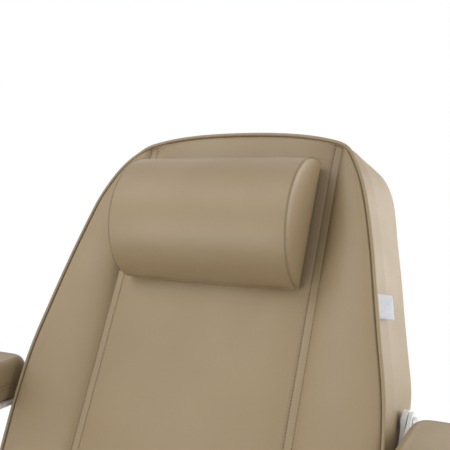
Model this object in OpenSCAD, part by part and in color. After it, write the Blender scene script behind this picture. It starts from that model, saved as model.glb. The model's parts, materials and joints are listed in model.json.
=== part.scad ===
// Treatment chair on a hydraulic column, in millimetres.
// It faces -Y, +X is the sitter's left, and the column stands on the origin at floor level.

/* [Seat] */
// Height of the seat's top above the floor, with the column at its lowest
seat_height = 630; // [610:5:680]
// Width of the seat cushion
seat_w = 600; // [560:5:620]
// Length of the seat cushion from front to rear
seat_len = 487; // [470:1:500]
// Thickness of the seat cushion
seat_thick = 100; // [85:1:100]
// Thickness of the plywood boards under the cushions
board_t = 15; // [12:1:15]

/* [Backrest] */
// Length of the backrest cushion
back_len = 711; // [620:1:760]
// Width of the backrest between its front seams, at its widest
back_w = 600; // [560:5:604]
// Thickness of the backrest's foam
back_thick = 108; // [90:1:110]
// Thickness of the board that the foam is glued to
back_board_t = 12; // [9:1:14]
// Angle of the backrest to the seat when it stands up
back_angle = 63.5; // [60:0.5:68]
// How far the backrest reclines
recline = 60; // [40:1:60]
// Rise of the middle of a cushion over its edges
crown = 5; // [2:0.5:8]
// Rise of the soft side wings over the middle panel
wing_rise = 16; // [8:1:20]
// Distance of the two sewn strips from the middle
strip_u = 170; // [150:1:175]

/* [Head pillow] */
// Width of the head pillow
pillow_w = 306; // [260:2:316]
// Height of the head pillow along the backrest
pillow_h = 204; // [160:2:220]
// Depth of the head pillow
pillow_d = 94; // [80:1:100]
// Distance of the pillow from the top of the backrest
pillow_drop = 58; // [40:1:80]

/* [Leg rest] */
// Length of the leg rest cushion
leg_len = 360; // [300:5:370]
// Thickness of the leg rest cushion
leg_thick = 75; // [60:1:80]
// Angle at which the leg rest hangs below level
leg_angle = 65; // [55:1:68]

/* [Armrests] */
// Height of the armrests over the seat
arm_rise = 254; // [246:1:262]
// Length of an armrest pad
arm_len = 500; // [420:5:520]
// Width of an armrest pad
arm_w = 104; // [80:1:110]
// Thickness of an armrest pad
arm_thick = 66; // [56:1:70]

/* [Column and base] */
// Width of the base plate
base_w = 600; // [560:5:660]
// Length of the base plate
base_len = 700; // [660:5:760]
// Thickness of the base plate
base_t = 8; // [6:1:12]
// Radius of the polished piston
piston_r = 30; // [27:0.5:32]
// How far the pump lifts the seat
lift = 150; // [100:5:150]

/* [Frame] */
// Height of the frame's rectangular tubes
tube_h = 40; // [36:1:42]
// Width of the frame's rectangular tubes
tube_w = 30; // [26:1:32]
// Wall of the frame's tubes
tube_wall = 2; // [1.5:0.5:3]
// Distance of the rails from the middle
rail_x = 200; // [196:1:204]
// Radius of the hinge pins
pin_r = 7; // [6:0.5:8]

/* [Clearances] */
// Running clearance round pins and shafts
run = 0.05; // [0.02:0.01:0.08]
// Gap between parts that touch softly
touch = 0.3; // [0.25:0.05:0.35]

/* [Hidden] */
LEFT = 1;
RIGHT = -1;
$fn = 64;

// Overrun of every cut past the face that it opens
cut = 1;

// Levels of the seat, from the top down
seat_under = seat_height - seat_thick;
board_under = seat_under - board_t;
rail_z = board_under - tube_h / 2;
rail_under = board_under - tube_h;

// The swivel head hangs under the rails and stands on a washer on the piston
flange_t = 8;
hub_h = 67;
washer_t = 5;
hub_top = rail_under - flange_t;
piston_top = hub_top - hub_h - washer_t;
// How much of the piston shows between the pump's collar and the washer
piston_shown = 29;

// The backrest's hinge, which lies below and behind the seat's rear edge
hinge_drop = 60;
hinge_z = seat_height - hinge_drop;
face_y = 230;
hinge_y = face_y + hinge_drop * tan(back_angle / 2);
back_start = 26;
seat_rear_y = 212;
seat_front_y = seat_rear_y - seat_len;

// Levels in the backrest's own frame: its hinge is the origin, +Y runs to the head, +Z faces the sitter
back_face = hinge_drop;
foam_under = back_face - back_thick;
back_board_under = foam_under - back_board_t;
cover_t = 4;
cover_under = back_board_under - cover_t;

// The leg rest's hinge, on the middle of the rails
leg_hinge_in = 85;
leg_hinge_y = seat_front_y + leg_hinge_in;
leg_hinge_z = rail_z;
leg_start = 104;
leg_rise = 33;

// Where the hinge plates and arms stand across the chair
plate_t = 6;
hinge_plate_x = rail_x - tube_w / 2 - plate_t;
side_gap = 2;
back_plate_x = hinge_plate_x - side_gap - plate_t;
leg_arm_t = 8;
leg_arm_x = rail_x + tube_w / 2 + side_gap;

// Gas springs
spring_x = 150;
spring_r = 14;
spring_rod_r = 5;
back_crank_r = 130;
back_anchor_y = -30;
leg_anchor_y = 70;
leg_reach = leg_anchor_y - leg_hinge_y;
// Shares of the reach from the leg rest's hinge to its spring's anchor
leg_crank_share = 9 / 26;
leg_spring_share = 89 / 130;
leg_crank_r = leg_reach * leg_crank_share;

// Places a backrest or leg rest piece from its own frame into the chair
module in_back() { translate([0, hinge_y, hinge_z]) rotate([back_angle, 0, 0]) children(); }
module in_leg() { translate([0, leg_hinge_y, leg_hinge_z]) rotate([leg_angle, 0, 0]) children(); }

// The outline of a flat bar with round ends between two points, as wide as 2 r
bar_step = 7.5;
function arc_points(c, r, from) = [for (a = [from:bar_step:from + 180]) c + r * [cos(a), sin(a)]];
module bar2d(a, b, r) {
    turn = atan2(b[1] - a[1], b[0] - a[0]);
    polygon(concat(arc_points(a, r, turn + 90), arc_points(b, r, turn - 90)));
}

// A rectangle with round corners
module round_rect(w, l, r) {
    square([w - 2 * r, l], center = true);
    square([w, l - 2 * r], center = true);
    for (x = [-1, 1], y = [-1, 1]) translate([x * (w / 2 - r), y * (l / 2 - r)]) circle(r = r);
}

// Stands an outline drawn in (y, z) up across the chair, from x to x + t
module across(x, t) { translate([x, 0, 0]) rotate([90, 0, 90]) linear_extrude(t) children(); }

// Keeps a piece on its side of the chair, or mirrors it to the other
module on_side(side) { mirror([side < 0 ? 1 : 0, 0, 0]) children(); }

// A pin or bore along X, from x to x + l
module x_rod(x, l, r) { translate([x, 0, 0]) rotate([0, 90, 0]) cylinder(h = l, r = r); }

// A hex bolt head with its face up
module hex_head(across_flats, h) { cylinder(h = h, d = across_flats / cos(30), $fn = 6); }

// A closed skin over rings of points, one ring after the other, with a fan over each end
function mean(ring) = [for (axis = [0:2]) [for (p = ring) 1] * [for (p = ring) p[axis]] / len(ring)];
module skin(rings) {
    count = len(rings[0]);
    last = len(rings) - 1;
    first_mid = count * (last + 1);
    walls = [for (r = [0:last - 1], i = [0:count - 1])
        let (a = r * count + i, b = r * count + (i + 1) % count)
        each [[a, b, b + count], [a, b + count, a + count]]];
    ends = [for (i = [0:count - 1])
        each [[first_mid, (i + 1) % count, i],
              [first_mid + 1, last * count + i, last * count + (i + 1) % count]]];
    points = concat([for (ring = rings) each ring], [mean(rings[0]), mean(rings[last])]);
    polyhedron(points = points, faces = concat(walls, ends));
}

// Soft cushions: the two sewn strips, the side band and the rounded plan corners
strip_half = 8;
strip_dip = 5;
band_bulge = 5;
rear_grow = 4;
soft_edge = 8;
end_bulge = 6;
corner_r = 45;
seam_dip = 3;
// Share of the strip's distance, share of the crown
face_shares = [[0, 1], [0.4, 0.8], [0.75, 0.4]];
// Share of the way from strip to seam, share of the wing's rise
wing_shares = [[0.3, 0.7], [0.55, 1], [0.8, 0.85]];
// Share of the thickness, share of the band's bulge
band_shares = [[0.8, 0.7], [0.55, 1], [0.25, 1]];
// Share of the width, of the end's bulge and of the height left, from the end seam outwards
end_shares = [[1, 0.6, 0.88], [0.995, 1, 0.5], [0.99, 1, 0.04]];

// Right half of a cushion's cross-section, from the middle of its face to its underside; the band
// flares by the last value on its way to the rear
function cushion_half(half, wing, thick, u, flare) =
    let (side = half - u, s = min(strip_half, side * face_shares[1][0]), foam = thick + wing * wing_rise)
    concat(
        [for (f = face_shares) [f[0] * u, thick + f[1] * crown]],
        [[u - strip_half, thick - strip_dip], [u - strip_half / 2, thick],
         [u + s / 2, thick], [u + s, thick - strip_dip]],
        [for (w = wing_shares) [u + s + w[0] * (side - s), thick + w[1] * wing * wing_rise]],
        [[half, thick - seam_dip + wing * wing_rise / 3]],
        [for (b = band_shares) [half + b[1] * band_bulge + flare * (1 - b[0]), b[0] * thick]],
        [[half + rear_grow + flare, soft_edge], [half + rear_grow + flare - soft_edge, 0]]);

// One closed ring of a cushion; row = [place along it, half width, edge arc, wing, fall, flare]
function cushion_ring(row, thick, u) =
    let (h = cushion_half(row[1], row[3], thick - row[4], u, len(row) > 5 ? row[5] : 0),
         ring = concat(h, [for (i = [len(h) - 1:-1:1]) [-h[i][0], h[i][1]]]))
    [for (p = ring) [p[0], row[0] - row[2] * pow(p[0] / row[1], 2), p[1]]];

// The rings that close an end of a cushion, pushed out by the bulge; dir is -1 or 1 along Y
function cushion_end(ring, thick, dir, lean = 0) =
    [for (e = end_shares) [for (p = ring)
        [p[0] * e[0], p[1] + dir * end_bulge * e[1] + lean * (1 - p[2] / thick),
         thick / 2 + (p[2] - thick / 2) * e[2]]]];

// A cushion with its underside at z = 0, made of rows from its -Y end to its +Y end
module cushion(rows, thick, u, lean = 0) {
    rings = [for (row = rows) cushion_ring(row, thick, u)];
    first = cushion_end(rings[0], thick, -1);
    last = cushion_end(rings[len(rings) - 1], thick, 1, lean);
    skin(backwards(concat(backwards(first), rings, last)));
}

// Rows round a plan corner of radius corner_r at an end of a cushion
corner_step = 22.5;
function corner_rows(end, dir, half, wing, fall) =
    [for (a = [0:corner_step:90])
        [end - dir * corner_r * (1 - cos(a)), half - corner_r * (1 - sin(a)), 0,
         wing * sin(a), fall * cos(a)]];
function backwards(rows) = [for (i = [len(rows) - 1:-1:0]) rows[i]];

// The base: a rubber mat, a plate, a pressed dome and the pump that it covers
mat_h = 4;
mat_in = 8;
base_corner = 70;
base_top = mat_h + base_t;
module base_mat() {
    color([0.12, 0.12, 0.12]) linear_extrude(mat_h)
        round_rect(base_w - 2 * mat_in, base_len - 2 * mat_in, base_corner - mat_in);
}
module base_plate() {
    chamfer = base_t / 4;
    color([0.93, 0.93, 0.92]) translate([0, 0, mat_h]) difference() {
        union() {
            linear_extrude(base_t - chamfer) round_rect(base_w, base_len, base_corner);
            linear_extrude(base_t)
                round_rect(base_w - 2 * chamfer, base_len - 2 * chamfer, base_corner - chamfer);
        }
        for (a = [45:90:315]) rotate(a) translate([pump_bolt_place, 0, -cut])
            cylinder(h = base_t + 2 * cut, r = pump_bolt_r + run);
    }
}

// Pressed dome round the foot of the pump, with the pedal's slot
pump_r = 55;
dome_r = 165;
dome_h = 105;
dome_wall = 2;
dome_step = 10;
dome_slot_z = [42, 96];
pedal_slot_w = 28;
function dome_arc(r, h) =
    [for (a = [0:dome_step:90]) [pump_r + touch + (r - pump_r) * cos(a), h * sin(a)]];
module base_cover() {
    color([0.93, 0.93, 0.92]) difference() {
        translate([0, 0, base_top]) rotate_extrude()
            polygon(concat(dome_arc(dome_r, dome_h),
                           backwards(dome_arc(dome_r - dome_wall, dome_h - dome_wall))));
        translate([pump_r + dome_wall, -pedal_slot_w / 2, dome_slot_z[0]])
            cube([dome_r, pedal_slot_w, dome_slot_z[1] - dome_slot_z[0]]);
    }
}

// The pump: a cast body with a bolted foot and two lugs that hold the pedal's pin
pump_foot_r = 92;
pump_foot_t = 14;
collar_h = 16;
pump_top = piston_top - piston_shown - collar_h;
pump_bore_z = 96;
pump_bolt_place = 76;
pump_bolt_r = 5;
pump_ribs = 6;
rib_t = 8;
pedal_pivot = [88, 64];
lug_t = 8;
lug_r = 13;
pedal_hub_w = 21;
pedal_pin_r = 6;
pump_bush = 4;
module pump_body() {
    color([0.2, 0.2, 0.22]) difference() {
        union() {
            translate([0, 0, base_top]) cylinder(h = pump_foot_t, r = pump_foot_r);
            translate([0, 0, base_top]) cylinder(h = pump_top - base_top, r = pump_r);
            for (a = [0:360 / pump_ribs:359]) rotate(a + 180 / pump_ribs) translate([0, 0, base_top])
                rotate([90, 0, 0]) translate([0, 0, -rib_t / 2]) linear_extrude(rib_t)
                    polygon([[pump_r - rib_t, 0], [pump_foot_r - rib_t, 0],
                             [pump_foot_r - rib_t, pump_foot_t], [pump_r, pump_r + pump_foot_t],
                             [pump_r - rib_t, pump_r + pump_foot_t]]);
            for (side = [-1, 1]) translate([0, side * (pedal_hub_w + lug_t) / 2 + side * touch, 0])
                rotate([90, 0, 0]) translate([0, 0, -lug_t / 2]) linear_extrude(lug_t) {
                    translate(pedal_pivot) circle(r = lug_r);
                    translate([pump_r - rib_t, pedal_pivot[1] - lug_r])
                        square([pedal_pivot[0] - pump_r + rib_t, 2 * lug_r]);
                }
        }
        translate([0, 0, pump_bore_z]) cylinder(h = pump_top, r = piston_r + pump_bush);
        for (a = [45:90:315]) rotate(a) translate([pump_bolt_place, 0, base_top - cut])
            cylinder(h = pump_foot_t + 2 * cut, r = pump_bolt_r + run);
        translate([pedal_pivot[0], pedal_hub_w + lug_t, pedal_pivot[1]]) rotate([90, 0, 0])
            cylinder(h = 2 * (pedal_hub_w + lug_t), r = pedal_pin_r + run);
    }
}

// Threaded collar that closes the pump and guides the piston
collar_r = 62;
collar_guide = 60;
collar_notches = 8;
notch = 6;
module pump_collar() {
    color([0.8, 0.8, 0.82]) difference() {
        union() {
            translate([0, 0, pump_top]) cylinder(h = collar_h - notch / 2, r = collar_r);
            translate([0, 0, pump_top]) cylinder(h = collar_h, r = collar_r - notch / 2);
            translate([0, 0, pump_top - collar_guide])
                cylinder(h = collar_guide + cut, r = piston_r + pump_bush - touch);
        }
        translate([0, 0, pump_top - collar_guide - cut])
            cylinder(h = collar_guide + collar_h + 2 * cut, r = piston_r + run);
        for (a = [0:360 / collar_notches:359]) rotate(a) translate([collar_r, 0, pump_top - cut])
            cylinder(h = collar_h + 2 * cut, r = notch / 2);
    }
}

bolt_head_h = 7;
bolt_head_w = 17;
module pump_bolts() {
    color([0.6, 0.6, 0.62]) for (a = [45:90:315]) rotate(a) translate([pump_bolt_place, 0, 0]) {
        translate([0, 0, mat_h]) cylinder(h = base_t + pump_foot_t, r = pump_bolt_r);
        translate([0, 0, base_top + pump_foot_t]) hex_head(bolt_head_w, bolt_head_h);
    }
}

pedal_pin_l = pedal_hub_w + 2 * lug_t + 2 * touch;
pin_head = 3;
module pedal_pin() {
    place = [pedal_pivot[0], pedal_pin_l / 2, pedal_pivot[1]];
    color([0.6, 0.6, 0.62]) translate(place) rotate([90, 0, 0]) {
        cylinder(h = pedal_pin_l + pin_head, r = pedal_pin_r);
        translate([0, 0, -pin_head]) cylinder(h = pin_head, r = pedal_pin_r + pin_head);
    }
}

// The pedal: a bar with a hub on the pin and a ribbed rubber pad; it rests tipped up
pedal_rest = 14;
pedal_len = 205;
pedal_bar_h = 14;
pedal_bar_w = 20;
pedal_hub_r = 12;
pedal_pad_l = 70;
pedal_pad_w = 64;
pedal_pad_t = 16;
pedal_ribs = 6;
module on_pedal() { translate([pedal_pivot[0], 0, pedal_pivot[1]]) rotate([0, -pedal_rest, 0]) children(); }
module pedal_lever() {
    tread = pedal_pad_w - 2 * pin_head;
    color([0.25, 0.25, 0.27]) on_pedal() difference() {
        union() {
            rotate([90, 0, 0]) cylinder(h = pedal_hub_w, r = pedal_hub_r, center = true);
            translate([0, -pedal_bar_w / 2, -pedal_bar_h / 2]) cube([pedal_len, pedal_bar_w, pedal_bar_h]);
            translate([pedal_len - pedal_pad_l, -tread / 2, pedal_bar_h / 2 - pin_head])
                cube([pedal_pad_l - pin_head, tread, pin_head]);
        }
        rotate([90, 0, 0]) translate([0, 0, -pedal_hub_w / 2 - cut])
            cylinder(h = pedal_hub_w + 2 * cut, r = pedal_pin_r + run);
    }
}
module pedal_pad() {
    rib = pedal_pad_t / 4;
    pitch = pedal_pad_l / pedal_ribs;
    color([0.1, 0.1, 0.1]) on_pedal() translate([pedal_len - pedal_pad_l / 2, 0, pedal_bar_h / 2]) {
        linear_extrude(pedal_pad_t - rib) round_rect(pedal_pad_l, pedal_pad_w, rib * 2);
        for (i = [0:pedal_ribs - 1]) translate([(i + 1 / 2) * pitch - pedal_pad_l / 2, 0, 0])
            linear_extrude(pedal_pad_t) round_rect(pitch / 2, pedal_pad_w - 2 * rib, rib / 2);
    }
}

// The piston slides and turns in the collar, and its spigot carries the seat
hub_r = 44;
spigot_r = 20;
spigot_h = 56;
module piston() {
    color([0.85, 0.85, 0.87]) {
        translate([0, 0, pump_bore_z + touch]) cylinder(h = piston_top - pump_bore_z - touch, r = piston_r);
        translate([0, 0, piston_top - cut]) cylinder(h = spigot_h + cut, r = spigot_r);
    }
}
module thrust_washer() {
    color([0.75, 0.6, 0.3]) translate([0, 0, piston_top]) difference() {
        cylinder(h = washer_t - touch, r = hub_r - washer_t);
        translate([0, 0, -cut]) cylinder(h = washer_t + 2 * cut, r = spigot_r + run);
    }
}

// Swivel head: a hub that turns on the spigot, with a ribbed flange under the cross tubes
flange_x = 180;
flange_y = 260;
flange_corner = 20;
cross_y = 105;
head_bolt_x = 68;
head_ribs = 8;
module swivel_head() {
    color([0.93, 0.93, 0.92]) difference() {
        union() {
            translate([0, 0, hub_top - hub_h]) cylinder(h = hub_h + cut, r = hub_r);
            translate([0, 0, hub_top]) linear_extrude(flange_t)
                round_rect(flange_x, flange_y, flange_corner);
            for (a = [0:360 / head_ribs:359]) rotate(a) rotate([90, 0, 0]) translate([0, 0, -flange_t / 2])
                linear_extrude(flange_t) polygon([[hub_r - flange_t, hub_top + cut],
                    [flange_x / 2 - flange_t, hub_top + cut], [flange_x / 2 - flange_t, hub_top - flange_t],
                    [hub_r, hub_top - hub_h + flange_t], [hub_r - flange_t, hub_top - hub_h + flange_t]]);
        }
        translate([0, 0, hub_top - hub_h - cut]) cylinder(h = spigot_h + cut, r = spigot_r + run);
        for (x = [-1, 1], y = [-1, 1]) translate([x * head_bolt_x, y * cross_y, hub_top - cut])
            cylinder(h = flange_t + 2 * cut, r = pump_bolt_r + run);
    }
}
module head_bolts() {
    color([0.6, 0.6, 0.62]) for (x = [-1, 1], y = [-1, 1]) translate([x * head_bolt_x, y * cross_y, 0]) {
        translate([0, 0, hub_top]) cylinder(h = flange_t + tube_h, r = pump_bolt_r);
        translate([0, 0, hub_top]) mirror([0, 0, 1]) hex_head(bolt_head_w, bolt_head_h);
    }
}

// Seat frame of rectangular tube
rail_nose = 24;
rail_front_y = leg_hinge_y - rail_nose;
rail_rear_y = 240;
module box_tube(size, wall, hollow) {
    inner = [for (k = [0:2]) k == hollow ? size[k] + 2 * cut : size[k] - 2 * wall];
    difference() {
        translate(-size / 2) cube(size);
        translate(-inner / 2) cube(inner);
    }
}
module seat_rail(side) {
    length = rail_rear_y - rail_front_y;
    color([0.93, 0.93, 0.92]) difference() {
        translate([side * rail_x, (rail_rear_y + rail_front_y) / 2, rail_z])
            box_tube([tube_w, length, tube_h], tube_wall, 1);
        translate([0, leg_hinge_y, leg_hinge_z]) x_rod(side * rail_x - tube_w, 2 * tube_w, pin_r + run);
    }
}
module seat_rail_left() { seat_rail(LEFT); }
module seat_rail_right() { seat_rail(RIGHT); }
module seat_cross(y) {
    color([0.93, 0.93, 0.92]) difference() {
        translate([0, y, rail_z]) box_tube([2 * rail_x - tube_w, tube_w, tube_h], tube_wall, 0);
        for (x = [-1, 1]) translate([x * head_bolt_x, y, rail_under - cut])
            cylinder(h = tube_h + 2 * cut, r = pump_bolt_r + run);
    }
}
module seat_cross_front() { seat_cross(-cross_y); }
module seat_cross_rear() { seat_cross(cross_y); }

// Plastic caps that close the open ends of the rails
cap_t = 3;
cap_plug = 10;
module rail_end_caps() {
    color([0.15, 0.15, 0.15]) for (side = [-1, 1], end = [[rail_front_y, -1], [rail_rear_y, 1]])
        translate([side * rail_x, end[0], rail_z]) {
            translate([0, end[1] * cap_t / 2, 0]) cube([tube_w, cap_t, tube_h], center = true);
            translate([0, -end[1] * cap_plug / 2, 0])
                cube([tube_w - 2 * tube_wall - touch, cap_plug, tube_h - 2 * tube_wall - touch],
                     center = true);
        }
}

// Plywood seat board with round corners and vent holes
seat_board_in = 14;
vent_r = 12;
vents = 3;
module seat_board() {
    w = seat_w - 2 * seat_board_in;
    l = seat_len - 2 * seat_board_in;
    color([0.72, 0.58, 0.4]) translate([0, (seat_front_y + seat_rear_y) / 2, board_under])
        linear_extrude(board_t) difference() {
            round_rect(w, l, corner_r);
            for (x = [-1, 1], i = [-1:1]) translate([x * w / vents, i * l / vents]) circle(r = vent_r);
        }
}

// Seat cushion: its front falls away in a soft edge, and the sewn strips run on from the backrest
seat_wing_share = 0.7;
seat_fall = 26;
seat_steps = 4;
module seat_cushion() {
    half = seat_w / 2;
    inner = seat_len - 2 * corner_r;
    rows = concat(
        corner_rows(seat_front_y, -1, half, seat_wing_share, seat_fall),
        [for (i = [1:seat_steps]) let (along = i / (seat_steps + 1))
            [seat_front_y + corner_r + inner * along, half, 0, seat_wing_share,
             seat_fall * pow(1 - along, 4) / 4]],
        backwards(corner_rows(seat_rear_y, 1, half, seat_wing_share, strip_dip)));
    color([0.62, 0.56, 0.46]) translate([0, 0, seat_under]) cushion(rows, seat_thick - crown, strip_u);
}

// Steel plates on the rear ends of the rails that hold the backrest's pins
hinge_eye = 17;
hinge_foot = 62;
module back_hinge_plates() {
    foot_top = rail_z + tube_h / 4;
    foot_rear = rail_rear_y - hinge_eye / 2;
    color([0.93, 0.93, 0.92]) for (side = [-1, 1]) difference() {
        on_side(side) across(hinge_plate_x, plate_t) {
            translate([hinge_y, hinge_z]) circle(r = hinge_eye);
            polygon([[hinge_y - hinge_eye, hinge_z], [seat_rear_y + 2 * end_bulge, foot_top],
                     [foot_rear - hinge_foot, foot_top], [foot_rear - hinge_foot, rail_under + tube_wall],
                     [foot_rear, rail_under + tube_wall], [hinge_y + hinge_eye, hinge_z]]);
        }
        translate([0, hinge_y, hinge_z]) x_rod(side * hinge_plate_x - 2 * tube_w, 4 * tube_w, pin_r + run);
    }
}

// Hinge pins: the backrest's stand in the rear plates, the leg rest's pass through the rails
pin_reach = 20;
module back_hinge_pins() {
    color([0.7, 0.7, 0.72]) for (side = [-1, 1]) on_side(side) translate([0, hinge_y, hinge_z]) {
        x_rod(back_plate_x - pin_reach, plate_t + pin_reach + side_gap + plate_t, pin_r);
        x_rod(hinge_plate_x + plate_t, pin_head, pin_r + pin_head);
    }
}
module leg_hinge_pins() {
    inner = rail_x - tube_w / 2;
    color([0.7, 0.7, 0.72]) for (side = [-1, 1]) on_side(side) translate([0, leg_hinge_y, leg_hinge_z]) {
        x_rod(inner, tube_w + side_gap + leg_arm_t + 2 * touch, pin_r);
        x_rod(inner - pin_head, pin_head, pin_r + pin_head);
        x_rod(leg_arm_x + leg_arm_t + 2 * touch, pin_head, pin_r + pin_head);
    }
}

// Gas spring anchors under the cross tubes: two cheeks, a foot and a fixed pin each
back_anchor_drop = 23;
back_anchor = [back_anchor_y, rail_under - back_anchor_drop];
leg_anchor_drop = 39;
leg_anchor = [leg_anchor_y, rail_under - leg_anchor_drop];
eye_w = 12;
eye_r = 10;
cheek_t = 4;
spring_pin_r = 5;
module spring_anchor(x, place, foot_y) {
    inner = eye_w / 2 + touch;
    color([0.93, 0.93, 0.92]) translate([x, 0, 0]) {
        for (side = [-1, 1]) on_side(side) across(inner, cheek_t) difference() {
            union() {
                translate(place) circle(r = eye_r);
                polygon([[place[0] - eye_r, place[1]], [place[0] - eye_r, rail_under], [foot_y, rail_under],
                         [foot_y, rail_under - cheek_t],
                         [place[0] + eye_r * cos(45), place[1] - eye_r * sin(45)]]);
            }
        }
        translate([0, place[0], place[1]]) x_rod(-inner - cut, 2 * (inner + cut), spring_pin_r);
    }
}
module spring_anchors() {
    spring_anchor(spring_x, back_anchor, -cross_y + tube_w / 2);
    spring_anchor(-spring_x, leg_anchor, cross_y + tube_w / 2);
}

// Armrest brackets: a plate that rises beside the backrest from a tube on the rail
bracket_gap = 4.5;
bracket_x = back_w / 2 + band_bulge + bracket_gap;
bracket_t = 6;
bracket_r = 18;
bracket_foot_y = 215;
bracket_foot = [bracket_foot_y, rail_z];
pivot_drop = 22;
arm_pivot_y = 400;
arm_pivot = [arm_pivot_y, seat_height + arm_rise - pivot_drop];
module arm_bracket(side) {
    rail_side = rail_x + tube_w / 2;
    foot = 2 * bracket_r;
    color([0.95, 0.95, 0.94]) on_side(side) difference() {
        union() {
            across(bracket_x, bracket_t) bar2d(bracket_foot, arm_pivot, bracket_r);
            translate([(rail_side + bracket_x) / 2, bracket_foot[0], bracket_foot[1]])
                cube([bracket_x - rail_side, foot, foot], center = true);
            translate([0, stop_place[0], stop_place[1]])
                x_rod(bracket_x + cut, stop_l + bracket_t - cut, stop_r);
        }
        translate([0, arm_pivot[0], arm_pivot[1]]) x_rod(bracket_x - cut, bracket_t + 2 * cut, pin_r + run);
    }
}
module arm_bracket_left() { arm_bracket(LEFT); }
module arm_bracket_right() { arm_bracket(RIGHT); }

// The bolts that the armrests swing on
washer_gap = 1.5;
ear_t = 5;
module arm_pivot_bolts() {
    grip = bracket_t + washer_gap + ear_t + 2 * touch;
    color([0.7, 0.7, 0.72]) for (side = [-1, 1]) on_side(side) translate([0, arm_pivot[0], arm_pivot[1]]) {
        x_rod(bracket_x, grip, pin_r);
        x_rod(bracket_x - pin_head, pin_head, pin_r + pin_head);
        x_rod(bracket_x + grip, pin_head, pin_r + pin_head);
    }
}

// An armrest: a steel tray under the pad, with an ear that reaches back to the pivot
ear_x = bracket_x + bracket_t + washer_gap;
pad_x = ear_x + ear_t + touch;
arm_top = seat_height + arm_rise;
arm_under = arm_top - arm_thick;
arm_rear_y = 385;
arm_front_y = arm_rear_y - arm_len;
tray_t = 6;
tray_in = 12;
ear_r = 16;
stop_r = 6;
stop_l = 14;
// The stop pin lies on the bracket's middle line, right under the tray
stop_z = arm_under - tray_t - stop_r - touch;
stop_up = (stop_z - bracket_foot[1]) / (arm_pivot[1] - bracket_foot[1]);
stop_y = bracket_foot[0] + (arm_pivot[0] - bracket_foot[0]) * stop_up;
stop_place = [stop_y, stop_z];
module arm_carrier(side) {
    tray_w = pad_x + arm_w - tray_in - ear_x;
    ear_front = [arm_rear_y - tray_in - ear_r, arm_under - tray_t + ear_r];
    color([0.93, 0.93, 0.92]) on_side(side) difference() {
        union() {
            translate([ear_x, arm_front_y + tray_in, arm_under - tray_t])
                cube([tray_w, arm_len - 2 * tray_in, tray_t]);
            across(ear_x, ear_t) {
                bar2d(ear_front, arm_pivot, ear_r);
                translate([ear_front[0] - ear_r, arm_under - tray_t])
                    square([arm_rear_y - tray_in - ear_front[0] + ear_r, ear_r]);
            }
        }
        translate([0, arm_pivot[0], arm_pivot[1]]) x_rod(ear_x - cut, ear_t + 2 * cut, pin_r + run);
    }
}
module arm_carrier_left() { arm_carrier(LEFT); }
module arm_carrier_right() { arm_carrier(RIGHT); }

// Armrest pads: soft-edged bolsters whose ends draw in
pad_turn = 15;
pad_soft = 0.45;
// Distance from the end as a share of the pad's thickness, share of the section left there
pad_end_shares = [[0, 0.6], [0.05, 0.84], [0.18, 0.96], [0.45, 1]];
function soft(v, power) = sign(v) * pow(abs(v), power);
function pad_ring(y, w, h, share) =
    [for (a = [0:pad_turn:359])
        [soft(cos(a), pad_soft) * w / 2 * share, y, h / 2 + soft(sin(a), pad_soft) * h / 2 * share]];
module arm_pad(side) {
    near = [for (e = pad_end_shares) [arm_front_y + e[0] * arm_thick, e[1]]];
    far = [for (e = backwards(pad_end_shares)) [arm_rear_y - e[0] * arm_thick, e[1]]];
    color([0.62, 0.56, 0.46]) translate([side * (pad_x + arm_w / 2), 0, arm_under])
        skin([for (row = concat(near, far)) pad_ring(row[0], arm_w, arm_thick, row[1])]);
}
module arm_pad_left() { arm_pad(LEFT); }
module arm_pad_right() { arm_pad(RIGHT); }

// Backrest frame: two rails with cranked plates that carry the hinge bushes, and a cross tube
back_rail_h = 25;
back_rail_from = 32;
back_rail_to = 500;
bush_t = 3;
boss_wall = 6;
boss_r = pin_r + bush_t + boss_wall;
boss_l = 20;
back_rail_under = cover_under - back_rail_h;
module back_rail(side) {
    length = back_rail_to - back_rail_from;
    foot = 120;
    low = back_rail_under - plate_t;
    rail_outer = back_plate_x + plate_t + tube_w / 2;
    color([0.93, 0.93, 0.92]) in_back() on_side(side) difference() {
        union() {
            translate([rail_outer, back_rail_from + length / 2, cover_under - back_rail_h / 2])
                box_tube([tube_w, length, back_rail_h], tube_wall, 1);
            across(back_plate_x, plate_t) {
                circle(r = boss_r);
                translate([-boss_r, low]) square([2 * boss_r, -low]);
                translate([-boss_r, low]) square([foot, cover_under - low]);
            }
            x_rod(back_plate_x + plate_t - boss_l, boss_l, boss_r);
        }
        x_rod(back_plate_x + plate_t - boss_l - cut, boss_l + 2 * cut, pin_r + bush_t);
    }
}
module back_rail_left() { back_rail(LEFT); }
module back_rail_right() { back_rail(RIGHT); }
module back_hinge_bushes() {
    color([0.75, 0.6, 0.3]) in_back() for (side = [-1, 1]) on_side(side) difference() {
        union() {
            x_rod(back_plate_x + plate_t - boss_l, boss_l, pin_r + bush_t);
            x_rod(back_plate_x + plate_t, side_gap - touch, boss_r - bush_t);
        }
        x_rod(back_plate_x + plate_t - boss_l - cut, boss_l + side_gap + 2 * cut, pin_r + run);
    }
}

// Round cross tube between the cranked plates
back_tube_r = 12.5;
back_tube_place = [62, cover_under - back_rail_h + back_tube_r - plate_t];
module back_cross_tube() {
    place = [0, back_tube_place[0], back_tube_place[1]];
    color([0.93, 0.93, 0.92]) in_back() translate(place) difference() {
        x_rod(-back_plate_x, 2 * back_plate_x, back_tube_r);
        x_rod(-back_plate_x - cut, 2 * (back_plate_x + cut), back_tube_r - tube_wall);
    }
}

// A pair of crank plates with the radial slot that a gas spring's pin slides in
slot_side = 3;
slot_over = 1;
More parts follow.
